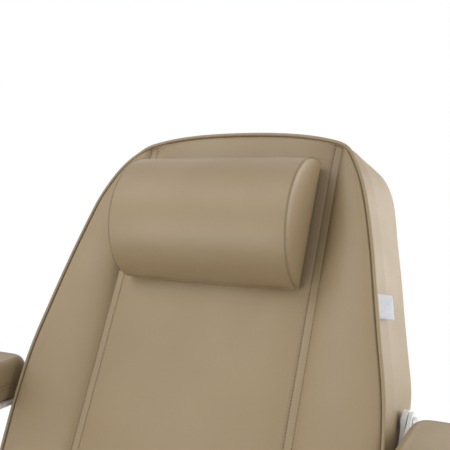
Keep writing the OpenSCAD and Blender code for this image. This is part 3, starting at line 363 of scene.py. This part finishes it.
def closed_up(bm, edges):
    """Fills the hole that the last ring leaves, and turns every face outwards."""
    bmesh.ops.triangle_fill(bm, use_beauty=True, edges=edges)
    bmesh.ops.recalc_face_normals(bm, faces=bm.faces)


# The face falls to its side seams, and towards its two ends its crown runs out
SEAM_DIP, SEAM_REACH = 3.2, 3.1
CROWN_REACH = 30
END_LEVEL, END_REACH = 0.7, 4.5
ARC_POWER = 2.8
# The foam's slow waves, and how much of a narrow wing the cover's pull may take
WAVE, WAVE_LENGTH, WAVE_RUN_IN, WAVE_SEED = 0.7, 90, 20, 50
BAND_WAVE, BAND_WAVE_LENGTH = 0.8, 60
PULL_SHARE = 0.6
TOP_FLARE_POWER = 4
# The side band from the seam to the underside: how far out in mm, share of the way down. Over its
# first quarter it leans out to a soft crease, and from there it runs straight down and rolls under
BAND_STEPS = ((0.2, 0.02), (1.3, 0.045), (1.6, 0.056), (1.9, 0.066), (2.9, 0.1), (4.3, 0.15),
              (5.7, 0.2), (6.8, 0.24), (7.3, 0.26), (7.4, 0.29), (7.3, 0.4), (7.4, 0.55),
              (7.4, 0.7), (7.2, 0.84), (6.4, 0.92), (5, 0.97), (4, 1))
# Under the foam the cover runs down round the board's edge and in over its underside
ROLL_OUT = 3
BOARD_GAP = 0.4
UNDER_LIP = 12
# Painted shade on the seam, on the stitched lines and down the first rings of the band
RIM_SHADE = 0.65
SEWN_SHADE = 0.05
BAND_PAINTED_SHADE = (0.65, 1, 0.9)
# Points nearer than this count as the same
SAME_PLACE = 0.1


def cushion(name, rows, crown, thick, place, board, top_flare=0, pull=lambda t: 0):
    """A sewn cushion. A row is (place along, half width, arc, wing's height, fall, flare) in mm,
    from one end to the other. A grid takes the face's form, and its rim is extruded round the side
    band and under the board, which is (thickness, how far it lies in from the seam). The cover may
    be pulled over to the sitter's right by some mm, seams and all."""
    sections = [face_section(half, crown, wing) for t, half, arc, wing, fall, flare in rows]
    across = len(sections[0]) - 1
    along = len(rows) - 1
    first, last = rows[0][0], rows[-1][0] - rows[-1][2]

    def shift(t, half):
        return min(pull(t), PULL_SHARE * wing_room(half))

    def face_point(i, j):
        t, half, arc, wing, fall = rows[j][:5]
        u, h = sections[j][i]
        edge = min(t - first, last - t + arc)
        h -= (SEAM_DIP * math.exp(-((half - abs(u)) / SEAM_REACH) ** 2)
              + crown * math.exp(-(edge / CROWN_REACH) ** 2))
        h += (END_LEVEL * wing - SEAM_DIP - h) * math.exp(-(edge / END_REACH) ** 2)
        h += (WAVE * noise.noise(Vector((u / WAVE_LENGTH, t / WAVE_LENGTH, thick / WAVE_SEED)))
              * min(1, max(edge, 0) / WAVE_RUN_IN))
        outside = max(0, abs(u) - OUTER_LINE) / wing_room(half)
        return Vector((u - shift(t - arc, half) * outside,
                       t - arc * abs(u / half) ** ARC_POWER, thick + h - fall))

    bm = bmesh.new()
    shade = bm.verts.layers.float.new("seam_shade")
    grid = bmesh.ops.create_grid(bm, x_segments=across, y_segments=along, size=1)
    sewn = [i for i, (u, h) in enumerate(sections[along // 2])
            if abs(abs(abs(u) - STRIP) - STITCH_ROWS) < SAME_PLACE]
    index = {}
    for v in grid["verts"]:
        i = round((v.co.x + 1) / 2 * across)
        j = round((v.co.y + 1) / 2 * along)
        v.co = face_point(i, j)
        on_rim = i in (0, across) or j in (0, along)
        v[shade] = RIM_SHADE if on_rim else SEWN_SHADE if i in sewn else 0
        index[i, j] = v
    order = ([(0, j) for j in range(along)] + [(i, along) for i in range(across)]
             + [(across, j) for j in range(along, 0, -1)] + [(i, 0) for i in range(across, 0, -1)])
    seam = []
    rim = {}
    for k, (i, j) in enumerate(order):
        t, half, arc, wing, fall, flare = rows[j]
        here = index[i, j].co
        run = index[order[(k + 1) % len(order)]].co - index[order[k - 1]].co
        outward = Vector((-run.y, run.x, 0)).normalized()
        # The band's foot stays where it is when the seam is pulled over, so its flare takes that up
        flare += math.copysign(shift(t - arc, half), here.x)
        if j == along:
            flare = top_flare + (flare - top_flare) * abs(here.x / half) ** TOP_FLARE_POWER
        rim[index[i, j]] = (here.copy(), outward, flare, (i, j))
        seam.append((here.copy(), outward))
    edges = [e for e in bm.edges if e.is_boundary]
    band = {key: [at] for at, out, flare, key in rim.values()}
    deep, board_in = board
    tail = ((ROLL_OUT, -deep), (-board_in, -deep), (-board_in, BOARD_GAP),
            (-board_in - UNDER_LIP, BOARD_GAP))
    for ring, (out, share) in enumerate(BAND_STEPS + tail):
        under = ring >= len(BAND_STEPS)
        edges, rim = next_ring(bm, edges, rim)
        for v, (start, outward, flare, key) in rim.items():
            ease, wave = 1, 0
            if not under:
                ease = share * share * (3 - 2 * share)
                wave = (noise.noise(Vector((start.x / BAND_WAVE_LENGTH, start.y / BAND_WAVE_LENGTH,
                                            share * 2))) * (1 - abs(2 * share - 1)))
            v.co = start + outward * (out + flare * ease + BAND_WAVE * wave)
            v.co.z = share if under else start.z * (1 - share)
            # The first rings of the band beside the cord take painted shade
            v[shade] = BAND_PAINTED_SHADE[ring] if ring < len(BAND_PAINTED_SHADE) else 0
            band[key].append(v.co.copy())
    closed_up(bm, edges)
    bm.transform(place)
    return finished(name, bm, taupe, 1), seam, sections, face_point, band


# Piping stands out from its seam and over it. Its points keep a distance, and its corners are eased
CORD_OUT, CORD_UP, CORD_RADIUS = 1.9, 1.8, 3.0
CORD_STEP = 4.5
CORD_EASE = 3
CORD_SIDES = 2


def seam_cord(seam):
    """The cord's path beside a seam, with its points well apart and its corners eased."""
    path = []
    for point, outward in seam:
        at = point + outward * CORD_OUT + Vector((0, 0, CORD_UP))
        if not path or (at - path[-1]).length > CORD_STEP:
            path.append(at)
    for turn in range(CORD_EASE):
        path = [(path[k - 1] + 2 * at + path[(k + 1) % len(path)]) / 4
                for k, at in enumerate(path)]
    return path


def cord_round(name, path, radius, place):
    """Piping: a round cord in a folded strip of the cover, swept along its seam."""
    line = bpy.data.curves.new(name + "_line", "CURVE")
    line.dimensions = "3D"
    line.bevel_depth = radius / TO_MM
    line.bevel_resolution = CORD_SIDES
    spline = line.splines.new("POLY")
    spline.points.add(len(path) - 1)
    for point, at in zip(spline.points, path):
        point.co = (*(place @ at), 1)
    spline.use_cyclic_u = True
    holder = bpy.data.objects.new(name + "_line", line)
    bpy.context.scene.collection.objects.link(holder)
    depsgraph = bpy.context.evaluated_depsgraph_get()
    mesh = bpy.data.meshes.new_from_object(holder.evaluated_get(depsgraph))
    bpy.data.objects.remove(holder)
    mesh.name = name
    mesh.materials.clear()
    mesh.materials.append(piping_taupe)
    return smooth_piece(name, mesh)


# Stitches: their pitch in mm, half their length in metres for each mm of it, half their width and
# height in metres, and how far they lie over the face in mm
STITCH_PITCH = 4.8
STITCH_LENGTH = 0.00028
STITCH_WIDTH, STITCH_HEIGHT = 0.0006, 0.0005
STITCH_LIFT = 0.85


def stitching(name, paths, place):
    """Rows of single stitches, each a small round of thread that is pulled in at both ends."""
    bm = bmesh.new()
    size = Matrix.Diagonal((STITCH_PITCH * STITCH_LENGTH, STITCH_WIDTH, STITCH_HEIGHT, 1))
    for path in paths:
        carried = STITCH_PITCH / 2
        for a, b in zip(path, path[1:]):
            span = (b - a).length
            while carried < span:
                middle = place @ a.lerp(b, carried / span)
                turn = (place.to_3x3() @ (b - a)).to_track_quat("X", "Z").to_matrix().to_4x4()
                bmesh.ops.create_icosphere(bm, subdivisions=1, radius=1,
                                           matrix=Matrix.Translation(middle) @ turn @ size)
                carried += STITCH_PITCH
            carried -= span
    return finished(name, bm, thread)


def strip_lines(rows, sections, face_point):
    """The four stitched lines of a cushion's two strips, a little over the face."""
    lift = Vector((0, 0, STITCH_LIFT))
    middle = sections[len(rows) // 2]
    lines = []
    for u in (-OUTER_LINE, -INNER_LINE, INNER_LINE, OUTER_LINE):
        column = min(range(len(middle)), key=lambda i: abs(middle[i][0] - u))
        lines.append([face_point(column, j) + lift for j in range(1, len(rows) - 1)])
    return lines


def dress(name, rows, crown, thick, place, board, body, node, top_flare=0,
          pull=lambda t: 0):
    """Makes a cushion with its piping and stitching, lets them ride, and gives its band's lines."""
    pad, seam, sections, face_point, band = cushion(name, rows, crown, thick, place, board,
                                                    top_flare, pull)
    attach(pad, body)
    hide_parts(node)
    piping = cord_round(name + "_piping", seam_cord(seam), CORD_RADIUS, place)
    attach(piping, body)
    sewing = stitching(name + "_stitches", strip_lines(rows, sections, face_point), place)
    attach(sewing, body)
    return band


def between(points, at):
    """A smooth curve through (place, value) points, read at a place."""
    k = max(0, min(len(points) - 2, sum(1 for p in points if p[0] <= at) - 1))
    (x1, y1), (x2, y2) = points[k], points[k + 1]
    x0, y0 = points[max(k - 1, 0)]
    x3, y3 = points[min(k + 2, len(points) - 1)]
    s = (at - x1) / (x2 - x1)
    m1 = (y2 - y0) / (x2 - x0) * (x2 - x1)
    m2 = (y3 - y1) / (x3 - x1) * (x2 - x1)
    return ((2 * s ** 3 - 3 * s ** 2 + 1) * y1 + (s ** 3 - 2 * s ** 2 + s) * m1
            + (3 * s ** 2 - 2 * s ** 3) * y2 + (s ** 3 - s ** 2) * m2)


# Rows lie this far apart, and closer at both ends. Corners seen from above are round, and the wings
# rise from both ends
ROW_STEP = 11
END_STEPS = (0, 1.5, 4, 7.5, 12, 18, 25)
CORNER = 45
WING_RUN = 60


def spaced(start, end, step, close):
    """Places along a cushion: close together at both ends, where the face turns to its seam."""
    inner = [start + d for d in close] + [end - d for d in reversed(close)]
    count = max(2, round((end - start - 2 * close[-1]) / step))
    middle = [start + close[-1] + (end - start - 2 * close[-1]) * k / count
              for k in range(1, count)]
    return sorted(set(inner + middle))


def corner_half(half, t, start, end, corner=CORNER):
    """Half width at a place along a cushion with round plan corners."""
    edge = min(t - start, end - t, corner)
    return half - corner * (1 - math.sqrt(max(0, 1 - ((corner - edge) / corner) ** 2)))


def wing_rise(wing, from_start, from_end):
    """A wing's height at some distances from where it begins and ends."""
    return wing * min(1, from_start / WING_RUN, from_end / WING_RUN)


# Seat: 600 mm wide and 487 mm long on its plywood board. Its two sewn strips run on from the
# backrest's, its side wings are low, and its front falls away under the sitter's knees.
seat_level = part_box("seat_board")[1].z
seat_front, seat_rear = -275, 212
seat_half = 300
seat_wing, seat_wing_front, seat_wing_rear = 11, 6, 10
seat_fall, seat_fall_reach, seat_fall_power = 26, 110, 2.2
seat_rows = [(t, corner_half(seat_half, t, seat_front, seat_rear), 0,
              wing_rise(seat_wing, t - seat_front + seat_wing_front,
                        seat_rear - t + seat_wing_rear),
              seat_fall * max(0, 1 - (t - seat_front) / seat_fall_reach) ** seat_fall_power, 0)
             for t in spaced(seat_front, seat_rear, ROW_STEP, END_STEPS)]
on_seat = Matrix.Translation((0, 0, seat_level)) @ MM
dress("seat_upholstery", seat_rows, crown=5, thick=95, place=on_seat, board=(14.6, 12.6),
      body="seat", node="seat_cushion")

# Backrest: 108 mm of foam on a 12 mm board, 711 mm long. Its top is narrow and arched, its sides
# swell to 600 mm, its shoulders flare towards the rear, and the soft wings stand 16 mm over the
# middle panel. Two double-stitched strips run down it from the top corners.
back_lean = math.radians(63.5)
foam_under_hinge = 48


def hinge_place(name):
    """Where the frame holds a joint's pivot."""
    return Vector(next(joint["pos_m"] for joint in frame["joints"] if joint["name"] == name))


on_back = (Matrix.Translation(hinge_place("backrest_recline")) @ Matrix.Rotation(back_lean, 4, "X")
           @ Matrix.Translation((0, 0, -foam_under_hinge / TO_MM)) @ MM)
back_low, back_high = 26, 715
back_step = 9
back_arc, back_arc_reach, back_arc_power = 22, 190, 1.6
back_wing = 16
# The wings begin at this share of their height at the top and rise within this many mm, and at the
# foot they begin before the cushion and rise more slowly
wing_at_top, wing_top_run = 0.12, 120
wing_before_foot, wing_foot_run = 40, 260
# By mm down from the top: half width, and how far the band leans out towards the rear
back_outline = ((-17, 160), (0, 180), (5, 188), (14, 197), (27, 206), (57, 221.5), (108, 239),
                (179, 256.5), (231, 267), (292, 279), (378, 294.5), (460, 300), (560, 300),
                (640, 300), (674, 297), (689, 290))
back_flare = ((-17, 9), (0, 9), (14, 13), (32, 16), (57, 15.5), (83, 12.5), (109, 9.5), (142, 8),
              (237, 7.5), (281, 8), (318, 9), (345, 9), (372, 6), (395, 3), (460, 0), (689, 0))
# The cover sits a little over to the sitter's right, most at the shoulders
back_pull = ((-17, 0), (0, 0), (5, 1.5), (20, 6), (50, 6.5), (150, 6.5), (250, 6), (310, 5),
             (400, 2), (470, 0), (689, 0))


def cover_pull(t):
    """How far the cover is pulled over at a place along the backrest."""
    return between(back_pull, back_high - t)


back_rows = []
for t in spaced(back_low, back_high, back_step, END_STEPS):
    down = back_high - t
    half = between(back_outline, down)
    arc = back_arc * max(0, 1 - down / back_arc_reach) ** back_arc_power
    wing = back_wing * min(1, wing_at_top + down / wing_top_run,
                           (t - back_low + wing_before_foot) / wing_foot_run)
    back_rows.append((t + arc, half, arc, wing, 0, between(back_flare, down)))
back_band = dress("back_upholstery", back_rows, crown=5, thick=108, place=on_back,
                  board=(11.7, 0.6), body="backrest", node="back_cushion", top_flare=8,
                  pull=cover_pull)
paint(taupe, "back_cover")

# Head pillow: a D-shaped foam roll, 306 mm wide and 204 mm high, in a sewn cover. Its two end caps
# are set in with a stitched seam, and the cover closes along its lower edge.
on_hinge_plane = on_back @ Matrix.Translation((0, 0, foam_under_hinge))
pillow_middle = 577
pillow_half = 102
pillow_depth = 94
pillow_wide = 150
pillow_base = 67.5
pillow_roundness = 0.96
pillow_heart = 0.4
# The cover ends in a small pointed ear at each upper corner: its reach along the roll in mm and
# round it in radians, and how far it stands out and up
ear_along, ear_round = 9, 0.22
ear_out, ear_up = 2.5, 3.5


def pillow_point(u, turn, size):
    """A point of the roll: turn 0 is the lower edge, a half turn the upper, the rest its back."""
    t = -math.cos(turn) * pillow_half
    n = math.sin(turn) ** pillow_roundness * pillow_depth if 0 < turn < math.pi else 0
    middle = Vector((0, pillow_depth * pillow_heart))
    flat = middle + (Vector((t, n)) - middle) * size
    ear = math.exp(-((pillow_wide - abs(u)) / ear_along) ** 2 - ((turn - math.pi) / ear_round) ** 2)
    return Vector((u + math.copysign(ear_out * ear, u), pillow_middle + flat.x + ear_up * ear,
                   pillow_base + max(flat.y, 0)))


# As shares of the roll's size: its belly, its dip at the end seams, the puckers beside them and the
# foam's waves. Reaches are in mm, and the numbers round and along say how close the waves come
belly = 0.012
end_dip, end_dip_reach = 0.014, 1.8
pucker, pucker_reach, pucker_round, pucker_along, pucker_seed = 0.013, 17, 6, 2, 3
roll_wave, wave_round, wave_along, wave_seed = 0.006, 1.6, 2.2, 1
# Painted shade along the pillow's end seams
pillow_seam_shade = 0.5
round_steps = 72
roll_steps = 48
bm = bmesh.new()
shade = bm.verts.layers.float.new("seam_shade")
roll = bmesh.ops.create_grid(bm, x_segments=roll_steps, y_segments=round_steps, size=1)
for v in roll["verts"]:
    u = math.sin(v.co.x * math.pi / 2)
    turn = (v.co.y + 1) * math.pi
    near_end = (1 - abs(u)) * pillow_wide
    size = (1 + belly * math.cos(u * math.pi / 2)
            - end_dip * math.exp(-(near_end / end_dip_reach) ** 2))
    size -= (pucker * math.exp(-(near_end / pucker_reach) ** 2)
             * (0.5 + noise.noise(Vector((turn * pucker_round, u * pucker_along, pucker_seed)))))
    size += roll_wave * noise.noise(Vector((u * wave_along, turn * wave_round, wave_seed)))
    v.co = pillow_point(u * pillow_wide, turn, size)
    v[shade] = pillow_seam_shade if near_end < SAME_PLACE else 0
bmesh.ops.remove_doubles(bm, verts=bm.verts, dist=0.05)
# The end caps: their rims step in from the seam and swell outwards. A step is the share of the
# rim's size that is left, and how far out in mm. Over the cap the ears soon run out
cap_steps = ((0.994, 0.3), (0.98, 0.9), (0.95, 1.6), (0.9, 2.2), (0.82, 2.7), (0.7, 3.1),
             (0.55, 3.4), (0.38, 3.6), (0.2, 3.7), (0.06, 3.7))
cap_heart = 0.42
cap_within = 4
ear_run_out = 8
for side in (-1, 1):
    edges = [e for e in bm.edges if e.is_boundary
             and all(abs(v.co.x - side * pillow_wide) < cap_within for v in e.verts)]
    rim = {v: v.co.copy() for e in edges for v in e.verts}
    heart = Vector((side * pillow_wide, pillow_middle, pillow_base + pillow_depth * cap_heart))
    for size, out in cap_steps:
        edges, rim = next_ring(bm, edges, rim)
        for v, start in rim.items():
            v.co = heart + (start - heart) * size
            v.co.x = side * max(pillow_wide + out, abs(start.x) - ear_run_out * (1 - size))
            v[shade] = 0
    bmesh.ops.triangle_fill(bm, use_beauty=True, edges=edges)
bmesh.ops.recalc_face_normals(bm, faces=bm.faces)
bm.transform(on_hinge_plane)
pillow = finished("pillow_upholstery", bm, taupe, 1)
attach(pillow, "backrest")
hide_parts("head_pillow")

# Its stitches run round both ends just inside the seam, by degrees, and along the lower edge, by mm
end_line_in = 1.6
end_line_size, low_line_size = 1.002, 1.008
end_line = range(3, 178, 3)
low_line = range(-145, 146, 5)
low_line_turn = math.radians(6)
pillow_lines = [[pillow_point(side * (pillow_wide - end_line_in), math.radians(a), end_line_size)
                 for a in end_line] for side in (-1, 1)]
pillow_lines.append([pillow_point(u, low_line_turn, low_line_size) for u in low_line])
pillow_sewing = stitching("pillow_stitches", pillow_lines, on_hinge_plane)
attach(pillow_sewing, "backrest")

hook_and_loop, tree, shader, coords = new_finish("hook_and_loop", (0.05, 0.05, 0.05), 0, 0.9)
two_tone(tree, shader, mottle(tree, coords, 900, 4), (0.03, 0.03, 0.03), (0.1, 0.1, 0.1))
relief(tree, shader, mottle(tree, coords, 1600, 4), depth=0.0008)
paint(hook_and_loop, "pillow_strips")

# Side label: a woven white ribbon, folded once and sewn into the left seam, from where it stands a
# little off the band. It is blank.
label_cloth, tree, shader, coords = new_finish("woven_label", (0.78, 0.8, 0.83), 0, 0.75)
weave = tree.nodes.new("ShaderNodeTexWave")
weave.inputs["Scale"].default_value = 900
tree.links.new(coords, weave.inputs["Vector"])
two_tone(tree, shader, mottle(tree, coords, 200, 3), (0.74, 0.76, 0.8), (0.82, 0.84, 0.87))
relief(tree, shader, weave.outputs["Fac"], depth=0.0001)
label_from, label_to = 446, 481
label_start, label_depth = 1, 25
label_thick = 0.9
label_gap, label_stand, label_bend = 0.8, 12, 1.3
label_wave, label_wave_length, label_wave_seed = 0.5, 14, 5
probe = 3
left_seam = max(key[0] for key in back_band)


def band_place(t, deep):
    """A point of the backrest's left band, as far along it as t and as deep below its seam."""
    j = max(k for k in range(len(back_rows) - 1) if back_rows[k][0] <= t)
    share = (t - back_rows[j][0]) / (back_rows[j + 1][0] - back_rows[j][0])
    line = [a.lerp(b, share)
            for a, b in zip(back_band[left_seam, j], back_band[left_seam, j + 1])]
    for a, b in zip(line, line[1:]):
        span = (b - a).length
        if deep <= span:
            return a.lerp(b, deep / span)
        deep -= span


bm = bmesh.new()
leaf = bmesh.ops.create_grid(bm, x_segments=8, y_segments=10, size=0.5)
for v in leaf["verts"]:
    t = label_from + (v.co.x + 0.5) * (label_to - label_from)
    deep = label_start + (v.co.y + 0.5) * label_depth
    here = band_place(t, deep)
    down = band_place(t, deep + probe) - here
    on = band_place(t + probe, deep) - here
    proud = on.cross(down).normalized()
    if proud.x < 0:
        proud = -proud
    lift = (label_gap + label_stand * (v.co.y + 0.5) ** label_bend
            + label_wave * noise.noise(Vector((t / label_wave_length, deep / label_wave_length,
                                               label_wave_seed))))
    v.co = here + proud * lift
bmesh.ops.solidify(bm, geom=bm.faces, thickness=label_thick)
bm.transform(on_back)
label = finished("band_label", bm, label_cloth, 1)
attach(label, "backrest")
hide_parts("side_label")

# Leg rest: a shorter cushion in the same cover, on its plywood board and two flat arms. It narrows
# towards the feet, and its low wings rise from both ends.
leg_lean = math.radians(65)
foam_over_hinge = 45
on_leg = (Matrix.Translation(hinge_place("leg_rest_lift")) @ Matrix.Rotation(leg_lean, 4, "X")
          @ Matrix.Translation((0, 0, foam_over_hinge / TO_MM)) @ MM)
leg_foot, leg_top = -464, -104
leg_half, leg_taper = 292, 41
leg_wing, leg_wing_ends = 9.5, 8
leg_rows = [(t, corner_half(leg_half - leg_taper * (leg_top - t) / (leg_top - leg_foot), t,
                            leg_foot, leg_top), 0,
             wing_rise(leg_wing, t - leg_foot + leg_wing_ends, leg_top - t + leg_wing_ends), 0, 0)
            for t in spaced(leg_foot, leg_top, ROW_STEP, END_STEPS)]
dress("leg_upholstery", leg_rows, crown=4, thick=75, place=on_leg, board=(11.6, 12.6),
      body="leg_rest", node="leg_cushion")

# Armrests: flat foam pads on steel trays, 500 mm long. The top panel is drawn over the edge to a
# seam at a third of the height, where a band with a thin cord closes the lower part.
arm_out = 19
arm_corner = 30
arm_steps = (0, 1.2, 3, 5.5, 8.5, 11.5)
arm_columns = 10
# The top swells up from its edge, and the foam has slow waves that run out under the edge
arm_swell, arm_swell_run = 2.0, 50
arm_wave, arm_wave_length, arm_edge_wave_length = 0.5, 60, 40
arm_level_run = 20
arm_cord_out, arm_cord_radius = 0.8, 1.5
# The edge from the top panel to the seam and down the band: how far out, and height in mm on a pad
# of the height that it is drawn at
arm_drawn = 56
arm_seam = 20
arm_edge = ((3.5, 55.2), (7.5, 53.6), (11.5, 50.8), (14.8, 46.8), (17, 41.5), (18.2, 35.5),
            (18.8, 29.5), (18.8, 24.5), (18, 21.6), (16.8, arm_seam), (17.6, 18.4), (18.4, 15),
            (18.5, 9), (18, 4.5), (16.2, 1.6), (12, 0), (4, 0))
for side, word in ((1, "left"), (-1, "right")):
    low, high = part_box("arm_pad_" + word)
    middle = (low + high) / 2
    long_half = (high.y - low.y) / 2 * TO_MM - arm_out
    wide_half = (high.x - low.x) / 2 * TO_MM - arm_out
    top = (high.z - low.z) * TO_MM
    rows = [(t, corner_half(wide_half, t, -long_half, long_half, arm_corner - arm_out))
            for t in spaced(-long_half, long_half, ROW_STEP, arm_steps)]
    bm = bmesh.new()
    grid = bmesh.ops.create_grid(bm, x_segments=arm_columns, y_segments=len(rows) - 1, size=1)
    for v in grid["verts"]:
        i = v.co.x
        t, half = rows[round((v.co.y + 1) / 2 * (len(rows) - 1))]
        swell = arm_swell * (1 - i * i) * min(1, (long_half - abs(t)) / arm_swell_run)
        wave = arm_wave * noise.noise(Vector((i, t / arm_wave_length, side))) * (1 - i * i)
        v.co = Vector((i * half, t, top - arm_swell + swell + wave))
    rim = {}
    for v in [v for v in bm.verts if v.is_boundary]:
        outward = Vector((0, 0, 0))
        for e in v.link_edges:
            if e.is_boundary:
                run = e.other_vert(v).co - v.co
                flat = Vector((run.y, -run.x, 0)).normalized()
                away = flat.x * v.co.x / wide_half ** 2 + flat.y * v.co.y / long_half ** 2
                outward += flat if away > 0 else -flat
        rim[v] = (v.co.copy(), outward.normalized())
    edges = [e for e in bm.edges if e.is_boundary]
    for out, level in arm_edge:
        edges, rim = next_ring(bm, edges, rim)
        for v, (start, outward) in rim.items():
            wave = arm_wave * noise.noise(Vector((start.x / arm_edge_wave_length,
                                                  start.y / arm_edge_wave_length,
                                                  level / arm_level_run)))
            v.co = start + outward * (out + wave * min(1, level / arm_level_run))
            v.co.z = level * top / arm_drawn
        if level == arm_seam:
            chain = [edges[0].verts[0]]
            while len(chain) < len(rim):
                ahead = [e.other_vert(chain[-1]) for e in edges if chain[-1] in e.verts]
                chain.append(next(v for v in ahead if v not in chain[-2:]))
            seam_points = [v.co + rim[v][1] * arm_cord_out for v in chain]
    closed_up(bm, edges)
    on_arm = Matrix.Translation((middle.x, middle.y, low.z)) @ MM
    bm.transform(on_arm)
    pad = finished("arm_upholstery_" + word, bm, taupe, 1)
    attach(pad, "armrest_" + word)
    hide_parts("arm_pad_" + word)
    piping = cord_round("arm_piping_" + word, seam_points, arm_cord_radius, on_arm)
    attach(piping, "armrest_" + word)

# Studio: a pale floor that fades to white around the chair, in a white surround that lights dimmer
# than it looks. Four large soft lamps: a key above and a strong low fill, both in front on the
# sitter's right, and one behind and one beside the chair on the sitter's left.
floor_half = 14
fade_from, fade_to = 0.9, 2.2
surround_light = 0.40
WHITE = (1, 1, 1, 1)


def maths(tree, operation, first, second):
    """Two values put together."""
    node = tree.nodes.new("ShaderNodeMath")
    node.operation = operation
    tree.links.new(first, node.inputs[0])
    tree.links.new(second, node.inputs[1])
    return node.outputs["Value"]


def shown(tree, factor, first, second, output):
    """Puts out a mixture of two shaders."""
    mixed = tree.nodes.new("ShaderNodeMixShader")
    tree.links.new(factor, mixed.inputs["Fac"])
    tree.links.new(first, mixed.inputs[1])
    tree.links.new(second, mixed.inputs[2])
    tree.links.new(mixed.outputs["Shader"], tree.nodes[output].inputs["Surface"])


floor_paint, tree, shader, coords = new_finish("studio_floor", (0.82, 0.82, 0.81), 0, 0.7)
bm = bmesh.new()
bmesh.ops.create_grid(bm, x_segments=1, y_segments=1, size=floor_half)
floor = finished("floor", bm, floor_paint)
roughen(tree, shader, mottle(tree, coords, 3, 2, low=0.65, high=0.75))
radius = tree.nodes.new("ShaderNodeVectorMath")
radius.operation = "LENGTH"
tree.links.new(coords, radius.inputs[0])
far = tree.nodes.new("ShaderNodeMapRange")
far.inputs["From Min"].default_value = fade_from
far.inputs["From Max"].default_value = fade_to
tree.links.new(radius.outputs["Value"], far.inputs["Value"])
rays = tree.nodes.new("ShaderNodeLightPath").outputs
seen = maths(tree, "MAXIMUM", rays["Is Camera Ray"], rays["Is Glossy Ray"])
fade = maths(tree, "MULTIPLY", far.outputs["Result"], seen)
glow = tree.nodes.new("ShaderNodeEmission")
glow.inputs["Color"].default_value = WHITE
shown(tree, fade, shader.outputs["BSDF"], glow.outputs["Emission"], "Material Output")

world = bpy.data.worlds.new("studio")
world.use_nodes = True
bpy.context.scene.world = world
tree = world.node_tree
plain = tree.nodes["Background"]
plain.inputs["Color"].default_value = WHITE
plain.inputs["Strength"].default_value = surround_light
white = tree.nodes.new("ShaderNodeBackground")
white.inputs["Color"].default_value = WHITE
white.inputs["Strength"].default_value = 1
rays = tree.nodes.new("ShaderNodeLightPath").outputs
seen = maths(tree, "MAXIMUM", rays["Is Camera Ray"], rays["Is Transmission Ray"])
seen = maths(tree, "MAXIMUM", seen, rays["Is Glossy Ray"])
shown(tree, seen, plain.outputs["Background"], white.outputs["Background"], "World Output")


def lamp(name, power, size, place, at):
    """A square soft lamp of some watts and metres, turned to a point."""
    light = bpy.data.lights.new(name, "AREA")
    light.energy = power
    light.size = size
    holder = bpy.data.objects.new(name, light)
    bpy.context.scene.collection.objects.link(holder)
    holder.location = place
    holder.rotation_mode = "QUATERNION"
    holder.rotation_quaternion = (Vector(at) - Vector(place)).to_track_quat("-Z", "Y")


lamp("key_lamp", power=23, size=1.6, place=(-1.2, -0.9, 3.1), at=(0, 0.3, 1.0))
lamp("fill_lamp", power=62, size=2.2, place=(-1.3, -2.7, 0.5), at=(0, 0.3, 0.9))
lamp("rim_lamp", power=34, size=2.0, place=(2.0, 2.5, 1.6), at=(0.2, 0.4, 0.9))
lamp("side_lamp", power=30, size=1.8, place=(2.5, 0.6, 2.1), at=(0.2, 0.3, 0.9))

bpy.context.scene.view_settings.view_transform = "Standard"
